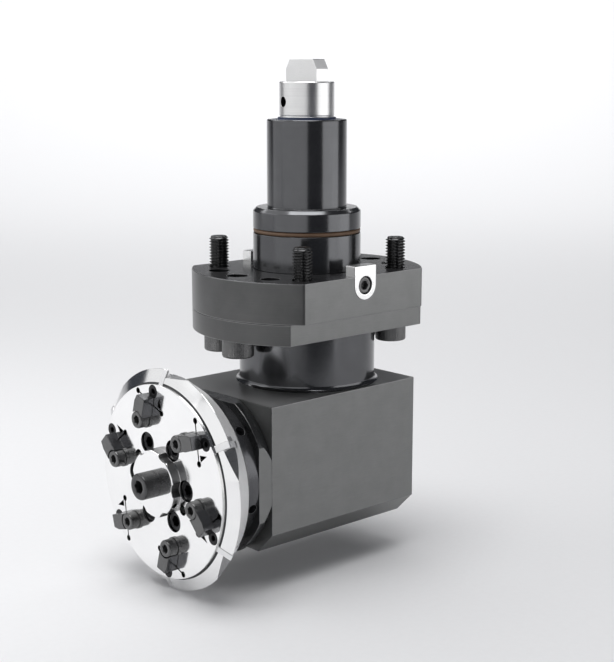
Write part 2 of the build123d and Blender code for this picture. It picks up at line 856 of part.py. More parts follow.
# Spindle: journal, bearing seat, shoulder, nose flange and the pilot for the cutter
arbor_hole_depth = pilot_end - clamp_ring_front + arbor_screw_length + air_gap
with BuildPart() as spindle:
    with BuildSketch(spindle_profile):
        Polygon(
            (0, locknut_start + air_gap),
            (gear_bore_radius - seat_clearance, locknut_start + air_gap),
            (gear_bore_radius - seat_clearance, spindle_bearing_start + air_gap),
            (spindle_seat_radius - seat_clearance, spindle_bearing_start + air_gap),
            (spindle_seat_radius - seat_clearance, spindle_bearing_end),
            (spindle_shoulder_radius, spindle_bearing_end),
            (spindle_shoulder_radius, flange_start),
            (spindle_flange_radius, flange_start),
            (spindle_flange_radius, cutter_rear),
            (cutter_pilot_radius, cutter_rear),
            (cutter_pilot_radius, pilot_end - spindle_end_bevel),
            (cutter_pilot_radius - spindle_end_bevel, pilot_end),
            (0, pilot_end),
            align=None,
        )
    revolve(axis=spindle_axis)
    with Locations(spindle_front.offset(pilot_end)):
        Hole(shank_m8 + thread_clearance, arbor_hole_depth)
    with Locations(spindle_front.offset(cutter_rear)):
        with Locations(*cutter_screw_places):
            Hole(shank_m6 + thread_clearance, cutter_rear - flange_start - air_gap)
    keyway(output_key_plane)
save(spindle.part, "spindle")

# Nose cap: holds the front bearings, carries the seal and a thread for the nose ring
nose_cap_rear = block_front - nose_cap_spigot
with BuildPart() as nose_cap:
    with BuildSketch(spindle_profile):
        Polygon(
            (nose_cap_bore, nose_cap_rear),
            (spindle_bearing_radius - seat_clearance, nose_cap_rear),
            (spindle_bearing_radius - seat_clearance, block_front),
            (nose_cap_foot_radius, block_front),
            (nose_cap_radius, block_front + nose_cap_taper),
            (nose_cap_radius, nose_cap_front),
            (nose_thread_radius, nose_cap_front),
            (nose_thread_radius, nose_cap_front + nose_thread_length),
            (nose_seal_radius, nose_cap_front + nose_thread_length),
            (nose_seal_radius, nose_seal_start),
            (nose_cap_bore, nose_seal_start),
            align=None,
        )
    revolve(axis=spindle_axis)
    with BuildSketch(spindle_front.offset(nose_cap_rear)):
        Rectangle(2 * block_half_width, 2 * block_half_height)
    extrude(amount=nose_ring_front - nose_cap_rear, mode=Mode.INTERSECT)
    with Locations(spindle_front.offset(nose_cap_front)):
        with Locations(*nose_screw_places):
            CounterBoreHole(
                shank_m4 + thread_clearance,
                head_m4 + head_clearance,
                height_m4 + nose_screw_sink,
                nose_cap_thickness,
            )
save(nose_cap.part, "nose_cap")
nose_screw_seat = spindle_front.offset(nose_cap_front - nose_screw_sink - height_m4)
save(placed(cap_screw("M4", nose_screw_length), nose_screw_seat, nose_screw_places), "nose_cap_screws")

with BuildPart() as nose_seal:
    with BuildSketch(spindle_profile):
        band(
            spindle_shoulder_radius + running_clearance,
            nose_seal_radius - seat_clearance,
            nose_seal_start,
            nose_seal_start + nose_seal_width,
        )
    revolve(axis=spindle_axis)
save(nose_seal.part, "nose_seal")

with BuildPart() as nose_ring:
    with BuildSketch(spindle_profile):
        Polygon(
            (nose_thread_radius + thread_clearance, nose_cap_front),
            (nose_ring_radius, nose_cap_front),
            (nose_ring_radius, nose_ring_front - nose_ring_bevel),
            (nose_ring_radius - nose_ring_bevel, nose_ring_front),
            (nose_thread_radius + thread_clearance, nose_ring_front),
            align=None,
        )
    revolve(axis=spindle_axis)
    with Locations(spindle_front.offset(nose_cap_front + spanner_hole_setback)):
        with PolarLocations(nose_ring_radius, spanner_hole_count, start_angle=spanner_hole_angle):
            Cylinder(spanner_hole_radius, 2 * spanner_hole_depth, rotation=(0, 90, 0), mode=Mode.SUBTRACT)
save(nose_ring.part, "nose_ring")

# Rear cover: closes the block behind the spindle and holds the rear bearing
with BuildPart() as rear_cover:
    with BuildSketch(spindle_profile):
        Polygon(
            (0, -block_rear),
            (rear_cover_radius, -block_rear),
            (rear_cover_radius, rear_cover_face),
            (rear_bearing_radius - seat_clearance, rear_cover_face),
            (rear_bearing_radius - seat_clearance, rear_bearing_start),
            (rear_cover_bore, rear_bearing_start),
            (rear_cover_bore, rear_cover_face - rear_cover_relief),
            (0, rear_cover_face - rear_cover_relief),
            align=None,
        )
    revolve(axis=spindle_axis)
    with Locations(spindle_back.offset(block_rear)):
        with Locations(*rear_screw_places):
            CounterBoreHole(
                shank_m4 + thread_clearance, head_m4 + head_clearance, height_m4, rear_cover_thickness
            )
save(rear_cover.part, "rear_cover")
rear_screw_seat = spindle_back.offset(block_rear - height_m4)
rear_screw = cap_screw("M4", rear_cover_screw_length)
save(placed(rear_screw, rear_screw_seat, rear_screw_places), "rear_cover_screws")

# Planes of the teeth: x points the way the cutter turns, y outward, z forward
tooth_planes = [
    turned(spindle_front, tooth_angle - 90 + 360 / tooth_count * number) for number in range(tooth_count)
]
clamp_planes = [turned(plane, clamp_lead) for plane in tooth_planes]
clamp_seat = Location((0, clamp_circle, 0), (0, 0, -clamp_turn))


def insert_outline():
    """The insert's rhomb in the open sketch: radius across, distance forward."""
    front = math.radians(insert_front_lean)
    rear = math.radians(insert_corner - insert_front_lean)
    tip = (cutter_rim_radius + insert_tip_rise, cutter_rim_position)
    along_front = (-insert_side * math.cos(front), insert_side * math.sin(front))
    along_rear = (-insert_side * math.cos(rear), -insert_side * math.sin(rear))
    Polygon(
        tip,
        (tip[0] + along_front[0], tip[1] + along_front[1]),
        (tip[0] + along_front[0] + along_rear[0], tip[1] + along_front[1] + along_rear[1]),
        (tip[0] + along_rear[0], tip[1] + along_rear[1]),
        align=None,
    )


# One tooth's cuts: gullet, insert pocket, slit with its round ends, and the screws' holes
slit_start, slit_end = slit_ends
slit_run = math.dist(slit_start, slit_end)
slit_slope = math.degrees(math.atan2(slit_end[1] - slit_start[1], slit_end[0] - slit_start[0]))
slit_middle = ((slit_start[0] + slit_end[0]) / 2, (slit_start[1] + slit_end[1]) / 2)
clamp_face = turned(Plane.XY.offset(cutter_front), clamp_lead)
with BuildPart() as tooth_cuts:
    with BuildSketch(Plane.XY.offset(cutter_rear)):
        Polygon(
            (0, gullet_floor_radius),
            (0, 2 * cutter_rim_radius - gullet_floor_radius),
            polar(2 * cutter_rim_radius - gullet_floor_radius, 90 - gullet_sweep),
            polar(cutter_rim_radius, 90 - gullet_sweep),
            align=None,
        )
    extrude(amount=cutter_front - cutter_rear)
    with BuildSketch(Plane.YZ.offset(pocket_clearance)):
        insert_outline()
        offset(amount=pocket_clearance, kind=Kind.INTERSECTION)
    extrude(amount=-insert_thickness - 2 * pocket_clearance)
    with BuildSketch(clamp_face):
        with Locations(*slit_ends):
            Circle(slit_end_radius)
        with Locations(Location((*slit_middle, 0), (0, 0, slit_slope))):
            Rectangle(slit_run, slit_width)
    extrude(amount=-slit_depth)
    with Locations(clamp_face):
        with Locations((0, clamp_circle)):
            Cylinder(
                shank_m5 + thread_clearance,
                clamp_screw_length,
                align=(Align.CENTER, Align.CENTER, Align.MAX),
            )
        with Locations(locking_screw_place):
            Cylinder(
                locking_screw_radius + thread_clearance,
                locking_screw_head,
                align=(Align.CENTER, Align.CENTER, Align.MAX),
            )
            Cylinder(
                locking_screw_shank + thread_clearance,
                locking_screw_head + locking_screw_length,
                align=(Align.CENTER, Align.CENTER, Align.MAX),
            )

# Cutter body: a double cone with a stepped face
with BuildPart() as cutter_body:
    with BuildSketch(spindle_profile):
        Polygon(
            (0, cutter_rear),
            (cutter_rear_radius, cutter_rear),
            (cutter_rim_radius, cutter_rim_position),
            (cutter_step_radius, cutter_front - cutter_step_depth),
            (cutter_face_radius, cutter_front - cutter_step_depth),
            (cutter_face_radius, cutter_front),
            (0, cutter_front),
            align=None,
        )
    revolve(axis=spindle_axis)
    with Locations(*tooth_planes):
        add(tooth_cuts.part, mode=Mode.SUBTRACT)
    with Locations(spindle_back.offset(-cutter_rear)):
        Hole(cutter_pilot_radius + seat_clearance, cutter_pilot_length + air_gap)
    with Locations(spindle_front.offset(cutter_front)):
        Hole(shank_m8 + head_clearance, cutter_front - cutter_rear)
        with Locations(*cutter_screw_places):
            CounterBoreHole(
                shank_m6 + thread_clearance,
                head_m6 + head_clearance,
                height_m6 + cutter_screw_sink,
                cutter_front - cutter_rear,
            )
        with PolarLocations(cutter_screw_circle, 2, start_angle=jack_hole_angle):
            Hole(jack_hole_radius, jack_hole_depth)
save(cutter_body.part, "cutter_body")

# Clamp ring and arbor screw on the cutter's face, and the six screws round them
with BuildPart() as cutter_clamp_ring:
    with BuildSketch(spindle_profile):
        Polygon(
            (shank_m8 + head_clearance, cutter_front),
            (clamp_ring_radius, cutter_front),
            (clamp_ring_radius, clamp_ring_front - clamp_ring_bevel),
            (clamp_ring_radius - clamp_ring_bevel, clamp_ring_front),
            (shank_m8 + head_clearance, clamp_ring_front),
            align=None,
        )
    revolve(axis=spindle_axis)
    with Locations(spindle_front.offset(clamp_ring_front)):
        with Locations(*cutter_screw_places):
            Hole(head_m6 + head_clearance, clamp_ring_thickness)
    with Locations(spindle_front.offset(cutter_front + clamp_ring_thickness / 2)):
        with PolarLocations(clamp_ring_radius, 2, start_angle=jack_hole_angle):
            Cylinder(ring_hole_radius, 2 * ring_hole_depth, rotation=(0, 90, 0), mode=Mode.SUBTRACT)
save(cutter_clamp_ring.part, "cutter_clamp_ring")

arbor_seat = spindle_front.offset(clamp_ring_front)
save(placed(cap_screw("M8", arbor_screw_length), arbor_seat, [(0, 0)]), "arbor_screw")
cutter_screw_seat = spindle_front.offset(cutter_front - cutter_screw_sink - height_m6)
save(placed(cap_screw("M6", cutter_screw_length), cutter_screw_seat, cutter_screw_places), "cutter_screws")

# Inserts in their pockets
with BuildPart() as insert:
    with BuildSketch(Plane.YZ) as insert_face:
        insert_outline()
        fillet(insert_face.vertices(), insert_nose_radius)
        with Locations(insert_face.face().center()):
            Circle(insert_bore_radius, mode=Mode.SUBTRACT)
    extrude(amount=-insert_thickness)
for number, plane in enumerate(tooth_planes, start=1):
    save(placed(insert.part, plane, [(0, 0)]), f"cutter_insert_{number}")

# Clamps: a thin round foot under the screw's head and a thick arm toward the insert
with BuildPart() as clamp:
    Box(clamp_width, clamp_length, clamp_height, align=(Align.CENTER, Align.MIN, Align.MIN))
    chamfer(clamp.edges().group_by(Axis.Z)[-1], clamp_bevel)
    Cylinder(
        head_m5 + head_clearance,
        clamp_height,
        align=(Align.CENTER, Align.CENTER, Align.MIN),
        mode=Mode.SUBTRACT,
    )
    Cylinder(clamp_foot_radius, clamp_foot_thickness, align=(Align.CENTER, Align.CENTER, Align.MIN))
    with Locations((0, 0, clamp_foot_thickness)):
        Hole(shank_m5 + thread_clearance, clamp_foot_thickness)
for number, plane in enumerate(clamp_planes, start=1):
    save(placed(clamp.part, plane.offset(cutter_front), [clamp_seat]), f"insert_clamp_{number}")

with BuildPart() as clamp_screws:
    with Locations(*[plane.offset(cutter_front + clamp_foot_thickness) for plane in clamp_planes]):
        with Locations(clamp_seat):
            add(cap_screw("M5", clamp_screw_length))
save(clamp_screws.part, "clamp_screws")

with BuildPart() as locking_screw:
    Cylinder(locking_screw_radius, locking_screw_head, align=(Align.CENTER, Align.CENTER, Align.MIN))
    Cylinder(locking_screw_shank, locking_screw_length, align=(Align.CENTER, Align.CENTER, Align.MAX))
    with BuildSketch(Plane.XY.offset(locking_screw_head)):
        RegularPolygon(locking_screw_socket / 2, 6, major_radius=False)
    extrude(amount=-locking_screw_socket_depth, mode=Mode.SUBTRACT)
with BuildPart() as locking_screws:
    with Locations(*[plane.offset(cutter_front - locking_screw_head) for plane in clamp_planes]):
        with Locations(locking_screw_place):
            add(locking_screw.part)
save(locking_screws.part, "locking_screws")
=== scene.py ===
# %% [markdown]
# A live tool holder turns a cutter at a right angle to a lathe turret's drive. The packed
# model arrives here as a fixed frame: every solid is in place, in metres, with +Z up the
# shank, the shank's axis through the origin, and the spindle nose pointing along -Y.
# All sizes below are in millimetres and become metres when a mesh is made.

# %% Load the frame
import math

import bmesh
import bpy
from mathutils import Matrix, Vector


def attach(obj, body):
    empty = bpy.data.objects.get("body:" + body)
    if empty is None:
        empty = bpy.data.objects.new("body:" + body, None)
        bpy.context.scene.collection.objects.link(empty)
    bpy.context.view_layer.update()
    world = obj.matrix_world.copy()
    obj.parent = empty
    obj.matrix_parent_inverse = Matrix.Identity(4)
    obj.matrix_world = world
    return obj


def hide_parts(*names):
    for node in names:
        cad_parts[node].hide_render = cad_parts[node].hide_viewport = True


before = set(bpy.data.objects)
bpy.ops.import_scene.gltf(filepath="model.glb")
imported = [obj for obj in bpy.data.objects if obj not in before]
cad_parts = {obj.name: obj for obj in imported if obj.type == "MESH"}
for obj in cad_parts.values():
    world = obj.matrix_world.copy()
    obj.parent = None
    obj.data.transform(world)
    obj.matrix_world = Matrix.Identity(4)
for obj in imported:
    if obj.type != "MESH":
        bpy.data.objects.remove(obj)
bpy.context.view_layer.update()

MM = 0.001


def linked(name, data):
    """A new object of the scene that holds a mesh, a light or a camera."""
    made = bpy.data.objects.new(name, data)
    bpy.context.collection.objects.link(made)
    return made


# %% [markdown]
# The camera stands where the photographer's did. Its place and the holder's main sizes were
# fitted together to edges measured in the picture, with the collar taken as 55 mm across to
# give the scale. The camera looks down a little, so its direction is written as two angles
# rather than a look-at point. The same two angles will place the lights.

# %% Camera
picture_height = 662
focal_pixels = 1335.3
camera_place = Vector((503.9, -457.3, 97.5))
camera_turn, camera_dip = 47.77, 10.92


def toward(azimuth, elevation):
    """The direction from the holder to what stands at an azimuth and elevation, in degrees."""
    turn, rise = math.radians(azimuth), math.radians(elevation)
    level = math.cos(rise)
    return Vector((math.sin(turn) * level, -math.cos(turn) * level, math.sin(rise)))


camera_data = bpy.data.cameras.new("camera")
camera_data.sensor_width = 36.0
camera_data.lens = camera_data.sensor_width * focal_pixels / picture_height
camera_data.clip_start, camera_data.clip_end = 0.01, 20.0
camera = linked("camera", camera_data)
camera.location = camera_place * MM
camera.rotation_euler = toward(camera_turn, camera_dip).to_track_quat("Z", "Y").to_euler()
bpy.context.scene.camera = camera
print("camera", round(camera_data.lens, 2), "mm lens")

# %% [markdown]
# Dark oxide steel shows only what it mirrors, so the studio matters as much as the finish.
# Long soft boxes stand on both sides: one faces the block's large side, one draws the thin
# light stripe down the shank, and one in front whitens the polished cutter. A wide one lights
# only the sheet. This floor is pale and plain, and curves up behind, which leaves no horizon.

# %% Floor and soft lights
floor_height = -150.4
floor_front, floor_level, floor_back = -430.0, 1500.0, 4100.0
floor_side, backdrop_top, sweep_steps = 3000.0, 560.0, 24
sweep_radius = floor_back - floor_level


def sweep_sheet():
    """A pale sheet, flat under the holder and curved up behind it."""
    behind = -toward(camera_turn, 0)
    across = Vector((behind.y, -behind.x, 0))
    rows = [(floor_front, 0.0), (floor_level, 0.0)]
    for step in range(1, sweep_steps + 1):
        angle = math.acos(1 - backdrop_top / sweep_radius) * step / sweep_steps
        distance = floor_level + sweep_radius * math.sin(angle)
        rows.append((distance, sweep_radius * (1 - math.cos(angle))))
    points, quads = [], []
    for distance, rise in rows:
        for side in (-floor_side, floor_side):
            place = behind * distance + across * side + Vector((0, 0, floor_height + rise))
            points.append(place * MM)
    for row in range(len(rows) - 1):
        quads.append((2 * row, 2 * row + 1, 2 * row + 3, 2 * row + 2))
    mesh = bpy.data.meshes.new("floor")
    mesh.from_pydata(points, [], quads)
    for face in mesh.polygons:
        face.use_smooth = True
    sheet = linked("floor", mesh)
    return sheet


def soft_box(name, azimuth, elevation, distance, size, power, aim=(0, 0, -30)):
    """A rectangular soft light that looks at the holder from one side."""
    light = bpy.data.lights.new(name, "AREA")
    light.shape = "RECTANGLE"
    light.size, light.size_y = size[0] * MM, size[1] * MM
    light.energy = power
    outward = toward(azimuth, elevation)
    box = linked(name, light)
    box.location = (Vector(aim) + outward * distance) * MM
    box.rotation_euler = outward.to_track_quat("Z", "Y").to_euler()


floor = sweep_sheet()
soft_box("side_panel", 121, 4, 1050, (1100, 700), 3.6)
soft_box("front_panel", 12, 5, 1300, (2000, 800), 4.4)
soft_box("left_panel", -45, 18, 1200, (900, 940), 2.15)
soft_box("low_light", -48, 80, 430, (600, 600), 1.0, aim=(-230, -210, -150))
soft_box("top_light", 30, 82, 2100, (1500, 1500), 33.0)
soft_box("sheet_light", 48, 62, 2300, (3600, 1200), 64.0, aim=(-2300, 2080, -150))

world = bpy.data.worlds.new("studio")
world.use_nodes = True
sky = world.node_tree.nodes["Background"]
sky.inputs["Color"].default_value = (0.75, 0.82, 1.0, 1.0)
sky.inputs["Strength"].default_value = 0.05
bpy.context.scene.world = world
bpy.context.scene.view_settings.view_transform = "Standard"
print("floor at", floor_height, "mm")

# %% [markdown]
# Every finish on this holder is a small calculation on position: grinding lines, turning
# rings, oil mottle. Writing it as sums on sockets reads like the idea itself, so one class
# wraps a socket and lets Python's operators add the Math nodes. Colours and vectors have
# their own nodes, because a Math node would turn them grey. Finishes are kept in a list of
# their own, because the model brings materials, and two of one name would be mistaken.

# %% Shader sums
FINISHES = {}


class Wire:
    """A node socket whose sums add Math nodes."""

    def __init__(self, bench, socket):
        self.bench, self.socket = bench, socket

    def _sum(self, operation, *values):
        return self.bench.node("ShaderNodeMath", {"operation": operation}, list(values))

    def __add__(self, other):
        return self._sum("ADD", self, other)

    __radd__ = __add__

    def __mul__(self, other):
        return self._sum("MULTIPLY", self, other)

    __rmul__ = __mul__

    def __sub__(self, other):
        return self._sum("SUBTRACT", self, other)

    def __rsub__(self, other):
        return self._sum("SUBTRACT", other, self)

    def __pow__(self, other):
        return self._sum("POWER", self, other)

    def __rpow__(self, other):
        return self._sum("POWER", other, self)


class Bench:
    """The node tree of one finish, and the calls that add nodes to it."""

    def __init__(self, name):
        self.material = FINISHES[name] = bpy.data.materials.new(name)
        self.material.use_nodes = True
        self.tree = self.material.node_tree
        self.shader = self.tree.nodes["Principled BSDF"]

    def node(self, kind, settings=None, sockets=None, output=0):
        """Adds a node: its settings first, then the values or wires of its sockets."""
        made = self.tree.nodes.new(kind)
        for key, value in (settings or {}).items():
            if key == "stops":
                ramp = made.color_ramp
                while len(ramp.elements) < len(value):
                    ramp.elements.new(0.5)
                for element, (place, shade) in zip(ramp.elements, value):
                    element.position = place
                    element.color = (shade, shade, shade, 1.0)
            else:
                setattr(made, key, value)
        pairs = enumerate(sockets) if isinstance(sockets, list) else (sockets or {}).items()
        for key, value in pairs:
            if isinstance(value, Wire):
                self.tree.links.new(value.socket, made.inputs[key])
            else:
                made.inputs[key].default_value = value
        return Wire(self, made.outputs[output])

    def place(self):
        """Position on the object in millimetres, as three wires."""
        spot = self.node("ShaderNodeTexCoord", output="Object")
        return [
            self.node("ShaderNodeSeparateXYZ", sockets=[spot], output=axis) * (1 / MM)
            for axis in range(3)
        ]

    def vector(self, x, y, z):
        return self.node("ShaderNodeCombineXYZ", sockets=[x, y, z])

    def noise(self, spot, scale=1.0, detail=2.0, rough=0.5):
        """Soft noise from 0 to 1 at a place."""
        return self.node(
            "ShaderNodeTexNoise", {"noise_dimensions": "3D"},
            {"Vector": spot, "Scale": scale, "Detail": detail, "Roughness": rough},
        )

    def ramp(self, value, *stops):
        return self.node("ShaderNodeValToRGB", {"stops": stops}, {"Fac": value})

    def blend(self, share, first, second):
        """A colour between two colours."""
        return self.node(
            "ShaderNodeMix", {"data_type": "RGBA"}, {0: share, 6: first, 7: second}, output=2
        )

    def bump(self, height, depth, strength=1.0):
        """A normal from a height map, its depth in millimetres."""
        return self.node(
            "ShaderNodeBump", {}, {"Strength": strength, "Distance": depth * MM, "Height": height}
        )

    def finish(self, **values):
        """Sets or links the main shader's sockets by name."""
        for key, value in values.items():
            socket = self.shader.inputs[key.replace("_", " ")]
            if isinstance(value, Wire):
                self.tree.links.new(value.socket, socket)
            else:
                socket.default_value = value
        return self.material


print("shader sums ready")

# %% [markdown]
# Ground steel shows fine parallel lines, and turned steel shows rings round its axis. Both
# are noise that has been stretched: slow along the line, fast across it. Rings come from
# the distance to the axis and the height along it, so a face and a side get the same rings.

# %% Lines and rings
axis_drop = 95.3


def ring_spot(bench, around, pitch):
    """A place that changes only from ring to ring round the shank or the nose axis."""
    x, y, z = bench.place()
    if around == "nose":
        along, side, up = y, x, z + axis_drop
    else:
        along, side, up = z, x, y
    radius = (side * side + up * up) ** 0.5
    return bench.vector(radius * (1 / pitch), along * (1 / pitch), 0.0)


def grain_spot(bench, along, pitch, stretch=40.0):
    """A place that changes fast across the grinding lines and slowly along them."""
    rates = [1 / pitch] * 3
    rates["xyz".index(along)] = 1 / (pitch * stretch)
    return bench.vector(*[wire * rate for wire, rate in zip(bench.place(), rates)])


def even_spot(bench, size):
    """A place for mottle of one size all ways round."""
    return bench.vector(*[wire * (1 / size) for wire in bench.place()])


print("line and ring places ready")

# %% [markdown]
# Hot oxide turns ground steel black without hiding how it was made. The block's flats keep
# a faint grinding grain, and their mid grey is painted light from the side lamp, while the
# turned shank stays glossy and near black with a blue cast. Both share one recipe with
# different roughness, and the oil that seals the oxide leaves soft mottle in the gloss. The
# tops of the flange and the block take darker copies of it as painted shade.

# %% Oxide finishes
def oxide(name, dark, light, gloss, spread, depth, metal, specular, lay, *sizes):
    """Blackened steel with tool marks, from a dark and a light tone."""
    bench = Bench(name)
    marks = bench.noise(lay(bench, *sizes), 1.0, 3.0, 0.6)
    mottle = bench.noise(even_spot(bench, 9.0), 1.0, 4.0, 0.6)
    fine = bench.noise(even_spot(bench, 0.5), 1.0, 2.0, 0.5)
    tone = bench.ramp(marks * 0.45 + mottle * 0.55, (0.3, 0.0), (0.7, 1.0))
    return bench.finish(
        Base_Color=bench.blend(tone, (*dark, 1.0), (*light, 1.0)),
        Metallic=metal,
        Specular_IOR_Level=specular,
        Roughness=gloss + (mottle - 0.5) * spread + (fine - 0.5) * (spread * 0.5),
        Normal=bench.bump(marks * 0.7 + fine * 0.3, depth),
    )


# Each row: two tones, gloss and its spread, depth of the marks, metal, specular, marks.
OXIDES = {
    # The flats' mid grey tone is painted light; their grinding grain is real.
    "flat_oxide": (
        (0.175, 0.178, 0.176), (0.215, 0.217, 0.215),
        0.36, 0.07, 0.003, 0.75, 0.5, grain_spot, "y", 0.25,
    ),
    "rim_oxide": (
        (0.094, 0.095, 0.095), (0.121, 0.122, 0.122),
        0.3, 0.06, 0.002, 0.9, 0.5, ring_spot, "shank", 0.5,
    ),
    # Painted shade: the flange's top is drawn near black; its turning rings are real.
    "deck_oxide": (
        (0.022, 0.022, 0.023), (0.032, 0.032, 0.033),
        0.24, 0.06, 0.001, 0.2, 0.2, ring_spot, "shank", 0.5,
    ),
    # Painted shade: the block's top is drawn darker than its flats.
    "block_deck_oxide": (
        (0.135, 0.135, 0.136), (0.176, 0.176, 0.176),
        0.3, 0.08, 0.002, 0.2, 0.3, grain_spot, "y", 0.25,
    ),
    "turned_oxide": (
        (0.105, 0.106, 0.111), (0.128, 0.13, 0.136),
        0.17, 0.04, 0.001, 0.85, 0.5, ring_spot, "shank", 0.5,
    ),
    # Nose oxide, also the cutter step's dark corner as painted shade.
    "nose_oxide": (
        (0.045, 0.046, 0.048), (0.06, 0.062, 0.064),
        0.28, 0.08, 0.003, 0.75, 0.5, ring_spot, "nose", 0.4,
    ),
    # Ring oxide, also the clamp arms' darker sides as painted shade.
    "ring_oxide": (
        (0.085, 0.085, 0.09), (0.119, 0.121, 0.128),
        0.22, 0.06, 0.002, 0.75, 0.5, ring_spot, "nose", 0.4,
    ),
    # Black screw oxide, also laid in hole walls as painted shade.
    "screw_oxide": (
        (0.012, 0.012, 0.013), (0.028, 0.028, 0.030),
        0.32, 0.1, 0.003, 0.75, 0.5, even_spot, 1.2,
    ),
    "thread_oxide": (
        (0.055, 0.055, 0.056), (0.085, 0.085, 0.086),
        0.24, 0.08, 0.002, 0.9, 0.5, even_spot, 1.2,
    ),
    "head_oxide": (
        (0.12, 0.12, 0.121), (0.165, 0.165, 0.165),
        0.28, 0.08, 0.003, 0.85, 0.5, ring_spot, "shank", 0.6,
    ),
    "clamp_oxide": (
        (0.11, 0.11, 0.111), (0.15, 0.15, 0.15),
        0.22, 0.08, 0.003, 0.75, 0.5, even_spot, 0.8,
    ),
    "arbor_oxide": (
        (0.06, 0.06, 0.062), (0.09, 0.09, 0.091),
        0.26, 0.08, 0.003, 0.75, 0.5, even_spot, 1.0,
    ),
    # Edge finish: partly rubbed wear, partly a painted highlight on the broken edges.
    "worn_edge": (
        (0.17, 0.17, 0.174), (0.26, 0.26, 0.26),
        0.32, 0.1, 0.001, 0.95, 0.5, even_spot, 1.5,
    ),
}
for name, values in OXIDES.items():
    oxide(name, *values)
print("oxide finishes", len(OXIDES))

# %% [markdown]
# The bright steels are bare metal: fully metallic, with their colour in the reflection. The
# cutter is turned and polished until it is nearly white, the coupling and the keys are ground
# a little duller, and the carbide inserts are pale with a fine matte grain.

# %% Bright finishes
def bright(name, dull, clear, gloss, spread, depth, metal, lay, *sizes):
    """Bare steel with tool marks, from a duller and a clearer tone."""
    bench = Bench(name)
    marks = bench.noise(lay(bench, *sizes), 1.0, 3.0, 0.6)
    mottle = bench.noise(even_spot(bench, 14.0), 1.0, 3.0, 0.6)
    tone = bench.ramp(marks * 0.6 + mottle * 0.4, (0.32, 0.0), (0.68, 1.0))
    return bench.finish(
        Base_Color=bench.blend(tone, (*dull, 1.0), (*clear, 1.0)),
        Metallic=metal,
        Roughness=gloss + (marks - 0.5) * spread + (mottle - 0.5) * spread,
        Normal=bench.bump(marks, depth),
    )


# Each row: two tones, gloss and its spread, depth of the marks, metal, marks.
BRIGHTS = {
    "cone_steel": (
        (0.84, 0.84, 0.84), (0.95, 0.95, 0.95),
        0.42, 0.06, 0.001, 0.55, ring_spot, "nose", 0.3,
    ),
    "polished_steel": (
        (0.90, 0.90, 0.90), (0.97, 0.97, 0.965),
        0.11, 0.04, 0.0004, 1.0, ring_spot, "nose", 0.3,
    ),
    "bevel_steel": (
        (0.80, 0.80, 0.80), (0.92, 0.92, 0.92),
        0.16, 0.05, 0.0006, 1.0, ring_spot, "nose", 0.3,
    ),
    "ring_side_steel": (
        (0.26, 0.26, 0.265), (0.34, 0.34, 0.34),
        0.36, 0.08, 0.0008, 1.0, ring_spot, "nose", 0.3,
    ),
    "coupling_steel": (
        (0.70, 0.70, 0.70), (0.82, 0.82, 0.815),
        0.3, 0.06, 0.0015, 1.0, ring_spot, "shank", 0.3,
    ),
    # Spindle steel, also the cutter step's grey wall as painted shade.
    "spindle_steel": (
        (0.60, 0.60, 0.60), (0.76, 0.76, 0.75),
        0.24, 0.08, 0.0015, 1.0, ring_spot, "nose", 0.3,
    ),
    "key_steel": (
        (0.80, 0.80, 0.795), (0.90, 0.90, 0.895),
        0.3, 0.06, 0.0015, 1.0, grain_spot, "z", 0.2,
    ),
    # Gear steel, also the darker gullets and coupling tops as painted shade.
    "gear_steel": (
        (0.34, 0.34, 0.35), (0.5, 0.5, 0.5),
        0.3, 0.1, 0.0015, 1.0, even_spot, 0.7,
    ),
    "carbide": (
        (0.78, 0.78, 0.79), (0.90, 0.90, 0.90),
        0.3, 0.08, 0.002, 1.0, even_spot, 0.35,
    ),
}
for name, values in BRIGHTS.items():
    bright(name, *values)
print("bright finishes", len(BRIGHTS))

# %% [markdown]
# Two soft rings show on the shank: the brown ring that seals the collar in the turret, and
# the blue lip at the sleeve's mouth. Rubber is not metallic, and its broad dull highlight
# comes from a high roughness with a fine moulded grain.

# %% Rubber finishes
def rubber(name, deep, pale, gloss):
    """Moulded rubber with a fine grain and a little bloom."""
    bench = Bench(name)
    bloom = bench.noise(even_spot(bench, 4.0), 1.0, 4.0, 0.6)
    fine = bench.noise(even_spot(bench, 0.25), 1.0, 2.0, 0.5)
    return bench.finish(
        Base_Color=bench.blend(bloom, (*deep, 1.0), (*pale, 1.0)),
        Roughness=gloss + (fine - 0.5) * 0.15,
        Normal=bench.bump(fine, 0.01),
    )


rubber("brown_rubber", (0.13, 0.075, 0.042), (0.19, 0.115, 0.07), 0.55)
rubber("blue_rubber", (0.008, 0.018, 0.055), (0.014, 0.03, 0.085), 0.45)
rubber("black_rubber", (0.012, 0.012, 0.013), (0.022, 0.022, 0.023), 0.6)

bench = Bench("floor_sheet")
tooth = bench.noise(even_spot(bench, 3.0), 1.0, 3.0, 0.5)
floor_sheet = bench.finish(
    Base_Color=bench.blend(tooth, (0.78, 0.78, 0.79, 1.0), (0.81, 0.81, 0.82, 1.0)),
    Roughness=0.75,
    Normal=bench.bump(tooth, 0.02),
)
floor.data.materials.append(floor_sheet)
print("rubber finishes", 3)

# %% [markdown]
# Most of the holder is turned or milled, so two makers cover it: one spins a profile, the
# other pushes an outline. Both work in millimetres in their own upright frame, and a place
# matrix stands the result on the shank or on the nose, whose axis points along -Y. Softened
# profile corners give each turned edge the thin highlight of a real broken edge.

# %% Turning and pushing
SHANK = Matrix.Identity(4)
NOSE = Matrix(((1, 0, 0, 0), (0, 0, -1, 0), (0, 1, 0, -axis_drop), (0, 0, 0, 1)))


def shape(name, points, faces, place=SHANK):
    """A closed mesh object from points in millimetres."""
    mesh = bpy.data.meshes.new(name)
    mesh.from_pydata([(place @ Vector(point)) * MM for point in points], [], faces)
    work = bmesh.new()
    work.from_mesh(mesh)
    bmesh.ops.remove_doubles(work, verts=work.verts, dist=1e-7)
    bmesh.ops.recalc_face_normals(work, faces=work.faces)
    work.to_mesh(mesh)
    work.free()
    return linked(name, mesh)


